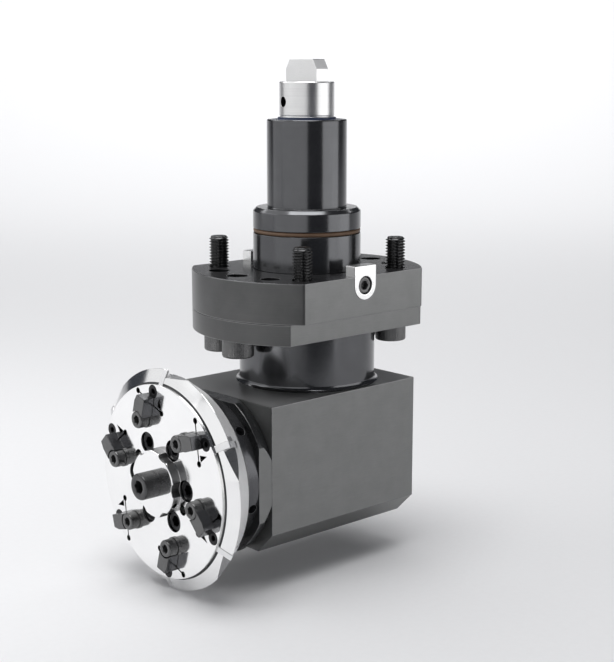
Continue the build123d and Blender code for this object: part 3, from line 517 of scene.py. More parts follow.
def soften(profile, size, steps=3):
    """The profile with each corner rounded by a size, except on the axis."""
    count, result = len(profile), []
    closed = profile[0][0] > 0
    for number, corner in enumerate(profile):
        if not closed and number in (0, count - 1):
            result.append(corner)
            continue
        here = Vector(corner)
        before, after = Vector(profile[number - 1]), Vector(profile[(number + 1) % count])
        reach = min(size, (before - here).length * 0.45, (after - here).length * 0.45)
        start = here + (before - here).normalized() * reach
        end = here + (after - here).normalized() * reach
        for step in range(steps + 1):
            share = step / steps
            spot = start * (1 - share) ** 2 + here * (2 * share * (1 - share)) + end * share ** 2
            result.append((spot.x, spot.y))
    return result


def turned(name, profile, place=SHANK, segments=144):
    """A profile of radii and heights spun round its axis; a radius may depend on the angle."""
    points, rows = [], []
    for radius, height in profile:
        if radius == 0:
            rows.append([len(points)] * segments)
            points.append((0, 0, height))
            continue
        rows.append(list(range(len(points), len(points) + segments)))
        for step in range(segments):
            angle = 2 * math.pi * step / segments
            reach = radius(angle) if callable(radius) else radius
            points.append((reach * math.cos(angle), reach * math.sin(angle), height))
    if profile[0][0] != 0:
        rows.append(rows[0])
    faces = []
    for low, high in zip(rows, rows[1:]):
        for step in range(segments):
            after = (step + 1) % segments
            corners = [low[step], low[after], high[after], high[step]]
            faces.append(list(dict.fromkeys(corners)))
    return shape(name, points, faces, place)


def pushed(name, outline, low, high, place=SHANK):
    """An outline in the ground plane pushed from one height to another."""
    count = len(outline)
    points = [(x, y, low) for x, y in outline] + [(x, y, high) for x, y in outline]
    faces = [list(range(count))[::-1], list(range(count, 2 * count))]
    faces += [[k, (k + 1) % count, count + (k + 1) % count, count + k] for k in range(count)]
    return shape(name, points, faces, place)


def arc(radius, start, end, steps, centre=(0, 0)):
    """Points on an arc, angles in degrees."""
    angles = [math.radians(start + (end - start) * step / steps) for step in range(steps + 1)]
    return [(centre[0] + radius * math.cos(a), centre[1] + radius * math.sin(a)) for a in angles]


def peg(radius, low, high, spot=(0, 0), place=SHANK, segments=48):
    """A plain round cutter at a spot."""
    return pushed("peg", arc(radius, 0, 360 - 360 / segments, segments - 1, spot), low, high, place)


def pegs(radius, low, high, spots, place=SHANK, segments=48):
    """The same round cutter at several spots."""
    return [peg(radius, low, high, spot, place, segments) for spot in spots]


print("makers ready")

# %% [markdown]
# Holes, slots and flats are cut with the exact Boolean, which is applied at once: the finished
# piece then is plain mesh. Edges are broken with a bevel on the mesh itself, and its new faces
# take the second finish of the piece. On a blackened block that finish is lighter: partly
# rubbed wear and partly a painted highlight along the edge.

# %% Cutting, edge breaking and fitting to the model
def settle(work):
    """Applies the modifiers of a piece."""
    tree = bpy.context.evaluated_depsgraph_get()
    settled = bpy.data.meshes.new_from_object(work.evaluated_get(tree))
    work.modifiers.clear()
    work.data = settled
    return work


def carve(work, tools, operation="DIFFERENCE"):
    """Cuts, joins or crops a piece with others, which are used up."""
    rack = bpy.data.collections.new("rack")
    for tool in tools:
        rack.objects.link(tool)
    step = work.modifiers.new("carve", "BOOLEAN")
    step.operation = operation
    step.solver = "EXACT"
    step.operand_type = "COLLECTION"
    step.collection = rack
    settle(work)
    for tool in list(tools):
        bpy.data.objects.remove(tool)
    bpy.data.collections.remove(rack)
    return work


def cleaned(work):
    """A piece's editable mesh, without the slivers that cuts leave."""
    mesh = bmesh.new()
    mesh.from_mesh(work.data)
    bmesh.ops.remove_doubles(mesh, verts=mesh.verts, dist=0.002 * MM)
    bmesh.ops.dissolve_degenerate(mesh, edges=mesh.edges, dist=0.002 * MM)
    mesh.normal_update()
    return mesh


def break_edges(work, width, steps=2, angle=32):
    """Rounds the outward edges sharper than an angle; the new faces take the second finish."""
    mesh = cleaned(work)
    sharp = math.radians(angle)
    edges = [
        edge for edge in mesh.edges
        if edge.is_manifold and edge.is_convex and edge.calc_face_angle(0.0) > sharp
    ]
    bmesh.ops.bevel(
        mesh, geom=edges, offset=width * MM, offset_type="OFFSET", segments=steps, profile=0.5,
        affect="EDGES", clamp_overlap=False, material=1, miter_outer="ARC",
    )
    mesh.to_mesh(work.data)
    mesh.free()
    return work


def paint(work, index, test):
    """Gives the faces that pass a test of middle and normal, in millimetres, another finish."""
    for face in work.data.polygons:
        if test(face.center / MM, face.normal):
            face.material_index = index
    return work


def gathered(name, meshes):
    """One object from several meshes, shells kept as they are."""
    work = bmesh.new()
    for mesh in meshes:
        work.from_mesh(mesh)
    mesh = bpy.data.meshes.new(name)
    work.to_mesh(mesh)
    work.free()
    return linked(name, mesh)


def merge(name, works):
    """One object from several, which are used up."""
    made = gathered(name, [part.data for part in works])
    for part in works:
        bpy.data.objects.remove(part)
    return made


def repeat(name, pattern, places):
    """Copies of a pattern at places, as one object."""
    copies = []
    for place in places:
        shift = place.copy()
        shift.translation = shift.translation * MM
        copies.append(pattern.data.copy())
        copies[-1].transform(shift)
    return gathered(name, copies)


def fit(work, name, body, finishes, stands_for=(), sharp=34):
    """Names a piece, gives it the finishes it lists and hangs it on its body."""
    work.name = name
    work.data.name = name
    indices = [face.material_index for face in work.data.polygons]
    work.data.materials.clear()
    for finish in finishes.split():
        work.data.materials.append(FINISHES[finish])
    for face, index in zip(work.data.polygons, indices):
        face.use_smooth = True
        face.material_index = min(index, len(work.data.materials) - 1)
    work.data.set_sharp_from_angle(angle=math.radians(sharp))
    weigh = work.modifiers.new("normals", "WEIGHTED_NORMAL")
    weigh.keep_sharp = True
    settle(work)
    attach(work, body)
    if stands_for:
        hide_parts(*stands_for)
    print(name, len(work.data.polygons), "faces")
    return work


print("cutting and fitting ready")

# %% [markdown]
# The upper flange is a round plate with two milled flats. Four turret screws stand through
# it, the housing's own screws and dowels end in it just under the face, and a locating key
# is let into each flat. Several pieces meet in these places, so the places are written down
# once: spots on the face for the holes, and a plane on each flat for the keys.

# %% Places on the flange
flange_radius, flange_half_width, flange_thickness = 59.0, 43.0, 20.0
turret_half = 32.0
m5_hole, m10_hole, m10_bore, dowel_hole = 2.55, 5.05, 8.25, 4.52
turret_spots = [(x, y) for x in (-turret_half, turret_half) for y in (-turret_half, turret_half)]
housing_circle, housing_angle = 46.2, 25.3


def spot_at(radius, degrees):
    """A point of a plane at a radius and an angle."""
    return (radius * math.cos(math.radians(degrees)), radius * math.sin(math.radians(degrees)))


housing_spots = [
    spot_at(housing_circle, angle) for angle in (-90, -90 - housing_angle, 90, 90 - housing_angle)
]
dowel_spots = [
    spot_at(housing_circle, angle) for angle in (housing_angle - 90, housing_angle + 90)
]


def flatted(radius, half_width, steps=64):
    """A circle with its left and right sides cut flat."""
    corner = math.degrees(math.acos(half_width / radius))
    return arc(radius, corner, 180 - corner, steps) + arc(radius, 180 + corner, 360 - corner, steps)


key_width, key_depth, key_drop, key_rise = 14.5, 6.8, 12.0, 5.0
key_centre = key_width / 2 - key_drop


def key_frame(side):
    """The plane of a flat: x along the flat, y up, z out of the flat."""
    turn = Matrix(((0, 0, side, 0), (side, 0, 0, 0), (0, 1, 0, 0), (0, 0, 0, 1)))
    return Matrix.Translation((side * flange_half_width, 0, 0)) @ turn


key_frames = {"right": key_frame(1), "left": key_frame(-1)}


def key_outline(grow, top):
    """The key's outline, square above and round below, grown for its bed."""
    half = key_width / 2 + grow
    return [(half, top)] + arc(half, 0, -180, 28, (0, key_centre)) + [(-half, top)]


print("holes in the flange", len(turret_spots + housing_spots + dowel_spots))

# %% [markdown]
# The flange's outline is pushed up, and every hole, both key beds and the groove at the
# collar's foot are cut. Then all edges are broken together, so that hole rims and the outer edge
# catch the same light. Its top is the blackest face of the holder as painted shade, the walls
# of its holes and groove are painted dark as shade too, and its rim is turned.

# %% Upper flange
flange = pushed("flange", flatted(flange_radius, flange_half_width), -flange_thickness, 0)
collar_radius, groove_outer, groove_depth = 27.5, 28.5, 0.5
foot_groove = [
    (collar_radius, -groove_depth), (groove_outer, -groove_depth), (groove_outer, 1.0),
    (collar_radius, 1.0),
]
carve(flange, [
    *pegs(m10_hole, -21, 1, turret_spots + housing_spots),
    *pegs(m10_bore, -21, -10, turret_spots),
    *pegs(dowel_hole, -21, 1, dowel_spots),
    *[pushed("bed", key_outline(0.02, 1), -key_depth, 1, plane) for plane in key_frames.values()],
    *[peg(m5_hole, -16, 1, (0, key_centre), plane) for plane in key_frames.values()],
    peg(18.2, -21, 1, segments=96),
    turned("groove", foot_groove, segments=192),
])
break_edges(flange, 0.45)


def on_rim(middle, normal):
    """The round sides of the flange and the plate."""
    return abs(normal.z) < 0.05 and middle.xy.length > flange_radius - 1.0 and middle.z > -31


def in_hole(middle, normal):
    """The walls of the flange's holes."""
    return (abs(normal.z) < 0.9 and abs(middle.x) < flange_half_width - 7
            and middle.xy.length < flange_radius - 1.5)


# The flange's top is painted shade.
paint(flange, 2, lambda middle, normal: normal.z > 0.99)
# The walls of the holes and the groove take black oxide as painted shade.
paint(flange, 3, in_hole)
paint(flange, 4, on_rim)
fit(flange, "upper_flange", "holder",
    "flat_oxide worn_edge deck_oxide screw_oxide rim_oxide",
    ["shank_flange"])

# %% [markdown]
# The shank above the flange is one turned piece: the wide collar that centres the holder in
# the turret, a groove for its sealing ring, a bevelled shoulder and the long sleeve. A single
# spun profile with many segments keeps the gloss on the cylinder clean, because a mirror
# shows every facet.

# %% Shank
collar_height, sleeve_radius, sleeve_top = 31.0, 20.25, 75.0
groove_bottom, groove_low, groove_high = 25.0, 18.1, 20.5
bore_radius, shell_radius = 14.6, 17.5
collar_bevel, sleeve_bevel = 1.8, 0.5
shank_profile = soften([
    (bore_radius + 4, -29.0), (27.48, -29.0), (27.48, -20.0), (collar_radius - 0.02, -19.9),
    (collar_radius, groove_low), (groove_bottom, groove_low), (groove_bottom, groove_high),
    (collar_radius, groove_high), (collar_radius, collar_height - collar_bevel),
    (collar_radius - collar_bevel, collar_height), (sleeve_radius, collar_height),
    (sleeve_radius, sleeve_top - sleeve_bevel), (sleeve_radius - sleeve_bevel, sleeve_top),
    (shell_radius, sleeve_top), (shell_radius, 53.0), (bore_radius, 53.0), (bore_radius, -20.0),
    (bore_radius + 4, -20.0),
], 0.3)
shank = turned("shank", shank_profile, segments=256)
fit(shank, "shank_sleeve", "holder", "turned_oxide", sharp=38)

o_ring_profile = arc(1.18, 0, 340, 17, (collar_radius - 1.3, 19.3))
fit(turned("ring", o_ring_profile, segments=160), "collar_o_ring", "holder",
    "brown_rubber", ["shank_o_ring"], sharp=80)
seal_profile = [
    (13.95, 69.0), (17.48, 69.0), (17.48, 75.0), (14.7, 75.0), (14.7, 76.0), (13.95, 76.0),
]
fit(turned("seal", soften(seal_profile, 0.25), segments=128), "sleeve_seal", "holder",
    "blue_rubber", ["shank_seal"])

# %% [markdown]
# The drive shaft ends in a bright coupling: a turned collar with a pin hole and a flat tang
# whose top corners are bevelled. The collar is spun and the tang is a pushed outline set on
# it. The hole is drilled before the edges are broken, so that its rim is broken with them.

# %% Drive coupling
shaft_radius, coupling_top, coupling_bevel = 13.9, 93.5, 0.5
tang_half, tang_thick, tang_foot, tang_top = 11.5, 8.0, coupling_top - 1.4, coupling_top + 11.0
shaft_profile = [
    (0, -76.0), (9.98, -76.0), (9.98, -54.5), (14.98, -54.5), (14.98, -29.0), (17.5, -29.0),
    (17.5, -21.0), (shaft_radius, -21.0), (shaft_radius, 76.2), (shaft_radius - 0.35, 76.35),
    (shaft_radius - 0.35, 76.85), (shaft_radius, 77.0),
    (shaft_radius, coupling_top - coupling_bevel), (shaft_radius - coupling_bevel, coupling_top),
    (0, coupling_top),
]
shaft = turned("shaft", soften(shaft_profile, 0.15), segments=128)
tang_outline = [
    (-tang_half, tang_foot), (tang_half, tang_foot), (tang_half, tang_top - 4.8),
    (tang_half - 2.8, tang_top), (2.8 - tang_half, tang_top), (-tang_half, tang_top - 4.8),
]
across = Matrix(((1, 0, 0, 0), (0, 0, -1, 0), (0, 1, 0, 0), (0, 0, 0, 1)))
tang = pushed("tang", tang_outline, -tang_thick / 2, tang_thick / 2, across)
sideways = Matrix.Rotation(math.pi / 2, 4, "Y")
pin_turn = Matrix.Rotation(math.radians(-102.0), 4, "Z")
pin_frame = Matrix.Translation((0, 0, 83.6)) @ pin_turn @ sideways
carve(shaft, [peg(2.6, 6.9, 15.0, (0, 0), pin_frame), peg(4.05, -80, -56)])
break_edges(shaft, 0.25)
break_edges(tang, 0.3)
# The pin hole's walls are painted dark oxide: painted shade inside the hole.
paint(shaft, 2, lambda middle, normal: middle.xy.length < 13.2 and 80 < middle.z < 88)
coupling = merge("coupling", [shaft, tang])
# The tops of the collar and tang take a darker steel: painted shade.
paint(coupling, 3, lambda middle, normal: middle.z > 90 and normal.z > 0.95)
paint(coupling, 4, lambda middle, normal: middle.z > 95 and 0.3 < normal.z < 0.6)
fit(coupling, "drive_coupling", "drive_train",
    "coupling_steel key_steel screw_oxide gear_steel cone_steel",
    ["drive_shaft"], sharp=25)

# %% [markdown]
# Socket head cap screws hold the holder together, in five sizes. One maker builds them all:
# the head's rim is knurled by letting the spun radius ripple with the angle, the socket is a
# hexagon with a drilled bottom, and the shank's end is chamfered. The copies share a pattern
# and only their places differ.

# %% Cap screws
SCREWS = {
    "M4": (2.0, 3.5, 4.0, 3.0, 36),
    "M5": (2.5, 4.25, 5.0, 4.0, 40),
    "M6": (3.0, 5.0, 6.0, 5.0, 44),
    "M8": (4.0, 6.5, 8.0, 6.0, 52),
    "M10": (5.0, 8.0, 10.0, 8.0, 60),
}


def socket_tools(flats, top, depth):
    """A hexagonal socket with a drill point below and a small chamfer at its mouth."""
    inner, outer = flats / 2, flats / math.sqrt(3)
    bottom = top - depth
    drill = [(0, bottom - inner * 0.5), (inner, bottom), (inner, bottom + 0.2), (0, bottom + 0.2)]
    mouth = [(0, top - 0.5), (inner * 0.9, top - 0.5), (outer + 0.5, top + 0.3), (0, top + 0.3)]
    return [
        pushed("hex", arc(outer, 0, 300, 5), bottom, top + 0.4),
        turned("drill", drill, segments=48),
        turned("mouth", mouth, segments=48),
    ]


def cap_screw(size, length, shank_rows=None):
    """A cap screw with its seat at height 0, head up; extra rows may replace the plain shank."""
    shank_radius, head_radius, height, flats, ridges = SCREWS[size]

    def knurled(angle):
        return head_radius - 0.11 * (0.5 - 0.5 * math.cos(ridges * angle))

    rows = shank_rows or [(0, -length), (shank_radius - 0.8, -length), (shank_radius, 0.8 - length)]
    rows = rows + [
        (shank_radius, -0.05), (shank_radius, 0.0), (head_radius - 0.3, 0.0), (knurled, 0.25),
        (knurled, height - 0.75), (head_radius - 0.12, height - 0.6),
        (head_radius - 0.12, height - 0.5), (head_radius - 0.3, height - 0.14),
        (head_radius - 0.62, height), (0, height),
    ]
    screw = turned("screw", rows, segments=4 * ridges)
    return carve(screw, socket_tools(flats, height, height / 2))


def spots_on(plane, spots, height, turn=SHANK):
    """Places at spots of a plane, at a height over it."""
    return [plane @ Matrix.Translation((x, y, height)) @ turn for x, y in spots]


def fit_screws(pattern, places, name, body, finish, node):
    """Fits copies of a screw as one piece that stands for a node."""
    fit(repeat("screws", pattern, places), name, body, finish, [node], sharp=40)
    bpy.data.objects.remove(pattern)


print("screw sizes", len(SCREWS))

# %% [markdown]
# The four turret screws sit captive between the plates with their heads down, and their
# threads stand above the face. The thread is real geometry: the spun radius depends on the
# angle and the height together, so its crest climbs one pitch per turn. A chamfer and a
# slightly domed tip let the screw find its hole.

# %% Turret and housing screws
thread_pitch, thread_depth, thread_step = 1.5, 0.92, 0.1
turret_seat, turret_top, waist_radius = -10.0, 16.0, 4.2


def thread_row(height, radius, limit):
    """The thread's radius all the way round at one height."""
    def reach(angle):
        phase = (height / thread_pitch - angle / (2 * math.pi)) % 1.0
        flank = (abs(2 * phase - 1) - 0.14) / 0.62
        return min(limit, radius - thread_depth * min(1.0, max(0.0, flank)))
    return reach


tip, foot = turret_seat - turret_top, turret_seat
thread_rows = [(0, tip), (2.2, tip + 0.04), (3.7, tip + 0.22)]
count = int((foot - tip - 0.4) / thread_step)
for number in range(count + 1):
    height = tip + 0.4 + (foot - tip - 0.4) * number / count
    limit = min(5.0, 3.95 + (height - tip - 0.4) * 0.9)
    thread_rows.append((thread_row(height, 5.0, limit), height))
thread_rows += [(waist_radius, foot + 0.6), (waist_radius, -0.6)]
turret_screw = cap_screw("M10", 26.0, thread_rows)
down = Matrix.Rotation(math.pi, 4, "X")
turret_places = spots_on(SHANK, turret_spots, turret_seat, down)
fit_screws(turret_screw, turret_places,
           "turret_cap_screws", "holder", "thread_oxide", "turret_screws")

plate_bottom = -30.5
housing_places = spots_on(SHANK, housing_spots, plate_bottom, down)
fit_screws(cap_screw("M10", 27.0), housing_places,
           "housing_cap_screws", "holder", "head_oxide", "housing_screws")

# %% [markdown]
# A locating key is let into each flat: square above, round below, with a screw sunk in it.
# It is pushed from the flat inward, bored for the screw, and its edges are broken finely, so
# the ground top keeps its bright look.

# %% Locating keys
m5_bore, key_seat = 4.5, -5.6
for side, plane in key_frames.items():
    key = pushed("key", key_outline(0, key_rise), -key_depth, 0, plane)
    spot = (0, key_centre)
    carve(key, [peg(m5_hole, -8, 1, spot, plane), peg(m5_bore, key_seat, 1, spot, plane)])
    break_edges(key, 0.35)
    fit(key, f"turret_key_{side}", "holder", "key_steel polished_steel",
        [f"locating_key_{side}"])
key_places = [
    plane @ Matrix.Translation((0, key_centre, key_seat)) for plane in key_frames.values()
]
fit_screws(cap_screw("M5", 9.0), key_places,
           "key_cap_screws", "holder", "head_oxide", "key_screws")

# %% [markdown]
# The gearbox housing is one block: a plate under the flange, a turned neck and the body that
# carries the spindle. The three are joined while they are still too wide, then both sides are
# milled flat in one pass, which leaves the neck's fillet cut off cleanly at the flats. The
# bearing bores cross inside, as in the model.

# %% Gearbox housing
block_half_width, block_half_height, block_chamfer, wide = 38.0, 37.3, 10.7, 48.0
block_front, block_rear, block_top = 57.0, 41.0, block_half_height - axis_drop
neck_radius, neck_fillet = 35.0, 2.6
slope = wide - block_half_width + block_chamfer
block_outline = [
    (wide, block_half_height), (-wide, block_half_height), (-wide, slope - block_half_height),
    (block_chamfer - block_half_width, -block_half_height),
    (block_half_width - block_chamfer, -block_half_height), (wide, slope - block_half_height),
]
housing = pushed("block", block_outline, -block_rear, block_front, NOSE)
plate = pushed("plate", arc(flange_radius, 0, 358, 179), plate_bottom, -flange_thickness)
fillet_arc = arc(neck_fillet, 180, 270, 12, (neck_radius + neck_fillet, block_top + neck_fillet))
neck = turned(
    "neck",
    [(0, block_top - 3), (neck_radius + neck_fillet, block_top - 3)] + fillet_arc[::-1]
    + [(neck_radius, plate_bottom + 2), (0, plate_bottom + 2)],
    segments=192,
)
carve(housing, [neck, plate], "UNION")
sides = [
    pushed("side", [(side * block_half_width, -80), (side * 90, -80), (side * 90, 80),
                    (side * block_half_width, 80)][::side], -150, 0)
    for side in (1, -1)
]
shaft_bore = [
    (0, -axis_drop), (25.1, -axis_drop), (25.1, -55.0), (27.52, -55.0), (27.52, -19.0), (0, -19.0),
]
nose_bore = [
    (0, -block_rear - 1), (33.02, -block_rear - 1), (33.02, -36.0), (18.52, -36.0), (18.52, -23.0),
    (16.1, -23.0), (16.1, -8.0), (25.09, -8.0), (25.09, 34.0), (27.52, 34.0),
    (27.52, block_front + 1), (0, block_front + 1),
]
bores = [turned("bore", shaft_bore, segments=96), turned("bore", nose_bore, NOSE, 96)]
bores += pegs(4.4, -31, -19, turret_spots) + pegs(m10_hole, -31, -19, housing_spots)
bores += pegs(dowel_hole, -31, -19, dowel_spots)
carve(housing, sides)
carve(housing, bores)
break_edges(housing, 0.4)


def on_neck(middle, normal):
    """The neck's round side, between its flats."""
    return (middle.xy.length < 42.5 and -57.9 < middle.z < -31
            and abs(normal.z) < 0.99 and abs(middle.x) < block_half_width - 0.1)


# The block's top is painted shade.
paint(housing, 2, lambda middle, normal: normal.z > 0.99)
paint(housing, 3, on_neck)
paint(housing, 4, on_rim)
fit(housing, "gearbox_block", "holder",
    "flat_oxide worn_edge block_deck_oxide turned_oxide rim_oxide",
    ["gearbox_housing"])

# %% [markdown]
# The nose cap closes the front bearing and is cropped to the block's outline, so its round
# face ends in four flats. The ring in front of it is screwed on with a pin spanner, whose
# holes show round its edge. Both are glossy black, and their rims take a lighter finish that
# is partly rubbed wear and partly a painted highlight. The cap's side flats take the flats'
# mid grey, which is painted light.

# %% Nose cap and ring
cap_radius, cap_front, ring_radius, ring_front = 42.3, 65.0, 37.8, 72.0
cap_profile = [
    (24.8, 54.0), (27.48, 54.0), (27.48, block_front), (39.5, block_front), (cap_radius, 62.0),
    (cap_radius, cap_front), (30.0, cap_front), (30.0, 71.0), (26.5, 71.0), (26.5, 61.0),
    (24.8, 61.0),
]
nose_cap = turned("cap", cap_profile, NOSE, 192)
crop = [
    (block_half_width, block_half_height), (-block_half_width, block_half_height),
    (-block_half_width, -block_half_height), (block_half_width, -block_half_height),
]
carve(nose_cap, [pushed("crop", crop, 50, 75, NOSE)], "INTERSECT")
nose_spots = [spot_at(34.0, 15 + 60 * number) for number in range(6)]
m4_hole, m4_bore = 2.05, 3.75
carve(nose_cap, pegs(m4_bore, 60.5, 66, nose_spots, NOSE) + pegs(m4_hole, 56, 66, nose_spots, NOSE))
break_edges(nose_cap, 0.3)
# The cap's side flats are painted light: the lighter grey of the block's lit flats.
paint(nose_cap, 2, lambda middle, normal: abs(normal.x) > 0.99
      and abs(middle.x) > block_half_width - 0.1)
fit(nose_cap, "nose_end_cap", "holder", "nose_oxide worn_edge flat_oxide",
    ["nose_cap"])

hole_angles = [43 + 60 * number for number in range(6)]
ring_profile = [
    (30.05, cap_front), (ring_radius, cap_front), (ring_radius, ring_front - 0.8),
    (ring_radius - 0.8, ring_front), (30.05, ring_front),
]
nose_ring = turned("ring", ring_profile, NOSE, 192)


def rim_hole(radius, depth, rim, angle, forward):
    """A hole bored inward from a rim round the nose."""
    turn = Matrix.Rotation(math.radians(angle), 4, "Z")
    place = NOSE @ turn @ Matrix.Translation((0, 0, forward)) @ sideways
    return peg(radius, rim - depth, rim + 1, (0, 0), place)


ring_holes = [rim_hole(2.4, 4.5, ring_radius, angle, cap_front + 2.8) for angle in hole_angles]
carve(nose_ring, ring_holes)
break_edges(nose_ring, 0.15)
fit(nose_ring, "nose_spanner_ring", "holder", "ring_oxide worn_edge", ["nose_ring"])

# %% [markdown]
# Six teeth stand round the cutter, and each has its own frame: x the way it turns, y outward,
# z forward. Its clamp has a second frame a little further round. The insert is a rhomb, and
# its outline serves twice: as it is for the insert, and grown all round for the pocket.

# %% Tooth frames and insert outline
tooth_angle, rim_radius, rim_at, cutter_rear, cutter_front = 28.9, 54.5, 90.0, 78.5, 95.0
tooth_turns = [math.radians(tooth_angle - 90 + 60 * number) for number in range(6)]
tooth_frames = [NOSE @ Matrix.Rotation(turn, 4, "Z") for turn in tooth_turns]
clamp_frames = [tooth @ Matrix.Rotation(math.radians(20.6), 4, "Z") for tooth in tooth_frames]
insert_side, insert_thick, insert_corner, insert_lean = 9.7, 3.2, 80.0, 24.7
insert_tip = (rim_radius + 0.4, rim_at)


def insert_outline(grow=0.0, rounding=0.0):
    """The insert's rhomb as radius and distance forward, grown all round, its corners rounded."""
    front, rear = math.radians(insert_lean), math.radians(insert_corner - insert_lean)
    ahead = Vector((-math.cos(front), math.sin(front)))
    behind = Vector((-math.cos(rear), -math.sin(rear)))
    spread = grow / math.sin(math.radians(insert_corner))
    start = Vector(insert_tip) - (ahead + behind) * spread
    side = insert_side + 2 * spread
    corners = [start, start + ahead * side, start + (ahead + behind) * side, start + behind * side]
    if not rounding:
        return [tuple(corner) for corner in corners]
    points = []
    for number, corner in enumerate(corners):
        back = (corners[number - 1] - corner).normalized()
        on = (corners[(number + 1) % 4] - corner).normalized()
        half = back.angle(on) / 2
        reach = rounding / math.tan(half)
        centre = corner + (back + on).normalized() * (rounding / math.sin(half))
        first, last = corner + back * reach - centre, corner + on * reach - centre
        for step in range(7):
            outward = (first * (6 - step) + last * step).normalized()
            points.append(tuple(centre + outward * rounding))
    return points


print("teeth", len(tooth_frames))

# %% [markdown]
# Six shallow gullets turn the cutter's rim into a polygon, and behind each a pocket takes an
# insert. A slit with a round hole at both ends lets the seat give a little, and a small screw
# locks it. Every tooth repeats the same cuts, so they are written once in the tooth's frame.
# A small relief steepens the rear of each tip, through the rim and the insert alike.

# %% Cuts of one tooth
upright = Matrix(((0, 0, 1, 0), (1, 0, 0, 0), (0, 1, 0, 0), (0, 0, 0, 1)))
relief_floor, relief_width = 50.9, 5.5
relief_outline = [(relief_floor, 78.0), (relief_floor, 88.3), (56.0, 90.4), (56.0, 78.0)]


def tip_relief(tooth):
    """The cut that steepens the rear of a tooth's tip."""
    return pushed("relief", relief_outline[::-1], -relief_width, 0.2, tooth @ upright)


slit_ends = ((-1.8, 45.4), (13.2, 31.6))
slit_run = math.dist(*slit_ends)
slit_turn = math.atan2(slit_ends[1][1] - slit_ends[0][1], slit_ends[1][0] - slit_ends[0][0])
slit_middle = [(a + b) / 2 for a, b in zip(*slit_ends)]
slit_depth, slit_half, pocket_room = 12, 0.4, 0.1
locking_spot, clamp_circle = (10.2, 42.8), 31.5
gullet_floor, gullet_sweep = 50.9, 16.5


def tooth_tools(tooth, seat):
    """The cuts of one tooth: gullet, insert pocket, slit and the holes round it."""
    gullet = [
        (0, gullet_floor), (0, 58.1), spot_at(58.1, 90 - gullet_sweep),
        spot_at(rim_radius, 90 - gullet_sweep),
    ]
    slit_frame = seat @ Matrix.Translation((*slit_middle, 0)) @ Matrix.Rotation(slit_turn, 4, "Z")
    end, half = slit_run / 2, slit_half
    slit = [(-end, -half), (end, -half), (end, half), (-end, half)]
    nick = [(10.9, 35.3), (14.6, 39.3), (13.5, 33.2)]
    return [
        pushed("gullet", gullet, cutter_rear - 1, cutter_front + 1, tooth),
        tip_relief(tooth),
        pushed("pocket", insert_outline(pocket_room), -insert_thick - pocket_room, pocket_room,
               tooth @ upright),
        pushed("slit", slit, cutter_front - slit_depth, cutter_front + 1, slit_frame),
        *pegs(1.5, cutter_front - slit_depth, cutter_front + 1, slit_ends, seat, 32),
        pushed("nick", nick, cutter_front - 5, cutter_front + 1, seat),
        peg(m5_hole, cutter_front - 11, cutter_front + 1, (0, clamp_circle), seat, 32),
        peg(3.35, cutter_front - 0.6, cutter_front + 1, locking_spot, seat),
        peg(2.05, cutter_front - 9.6, cutter_front, locking_spot, seat, 32),
    ]


print("slit length", round(slit_run, 2), "mm")

# %% [markdown]
# The cutter is a polished double cone with a stepped face, spun from one profile. All teeth
# are cut by one Boolean while the cone is still plain, because cutting them one after the
# other, or after the hub, left the mesh open. The hub's bore and screw holes follow.

# %% Cutter body
cutter_profile = [
    (0, cutter_rear), (46.5, cutter_rear), (rim_radius, rim_at), (48.2, cutter_front - 2),
    (47.5, cutter_front - 2), (47.5, cutter_front), (0, cutter_front),
]
cutter = turned("cutter", soften(cutter_profile, 0.12, 1), NOSE, 360)
m6_hole, m6_bore, m8_hole, hub_circle, jack_angles = 3.05, 5.25, 4.25, 20.2, (-30, 150)
cutter_screw_spots = [spot_at(hub_circle, 60 * number) for number in range(6)]
jack_spots = [spot_at(hub_circle, angle) for angle in jack_angles]
hub_tools = [
    peg(14.02, cutter_rear - 1, cutter_rear + 9.5, (0, 0), NOSE, 96),
    peg(m8_hole, cutter_rear, cutter_front + 1, (0, 0), NOSE),
    *pegs(m6_hole, cutter_rear - 1, cutter_front, cutter_screw_spots, NOSE),
    *pegs(m6_bore, cutter_front - 7, cutter_front + 1, cutter_screw_spots, NOSE),
    *pegs(2.5, cutter_front - 8, cutter_front + 1, jack_spots, NOSE),
]
rack_of_tools = []
for tooth, seat in zip(tooth_frames, clamp_frames):
    rack_of_tools += tooth_tools(tooth, seat)
carve(cutter, rack_of_tools)
carve(cutter, hub_tools)
mesh = cleaned(cutter)
mesh.to_mesh(cutter.data)
mesh.free()
print("cutter faces", len(cutter.data.polygons))

# %% [markdown]
# One body shows five finishes, because light tells its faces apart: the front and its bevel
# are polished and the rear cone is finely turned. The gullets are milled and duller and are
# drawn darker as painted shade, and the step round the face has a grey wall and a dark corner,
# both painted shade. Faces are told by where they lie.

# %% Finishes of the cutter
def from_axis(middle):
    """How far a point lies from the nose axis."""
    return math.hypot(middle.x, middle.z + axis_drop)


paint(cutter, 1, lambda middle, normal: normal.y > 0.3 and 46.6 < from_axis(middle) < 54.6)
# The step's corner takes black oxide: painted shade.
paint(cutter, 2, lambda middle, normal: 47.2 < from_axis(middle) < 48.3
      and 92.9 < -middle.y < 93.2)
# The gullets take a darker steel: painted shade.
paint(cutter, 3, lambda middle, normal: abs(normal.y) < 0.2 and from_axis(middle) > 50.5)
# The step's wall takes a grey steel: painted shade.
paint(cutter, 4, lambda middle, normal: 47.2 < from_axis(middle) < 47.6
      and 93.2 < -middle.y < 94.9)
fit(cutter, "polygon_cutter", "cutter_spindle",
    "polished_steel cone_steel nose_oxide gear_steel spindle_steel",
    ["cutter_body"])

# %% [markdown]
# A clamp ring and a long screw press the cutter on the spindle's pilot. The ring's front is
# polished and its side is left dull, and six screws round it bite small scallops out of its
# edge. The ring is spun, the scallops are bored, and the front takes the bright finish.

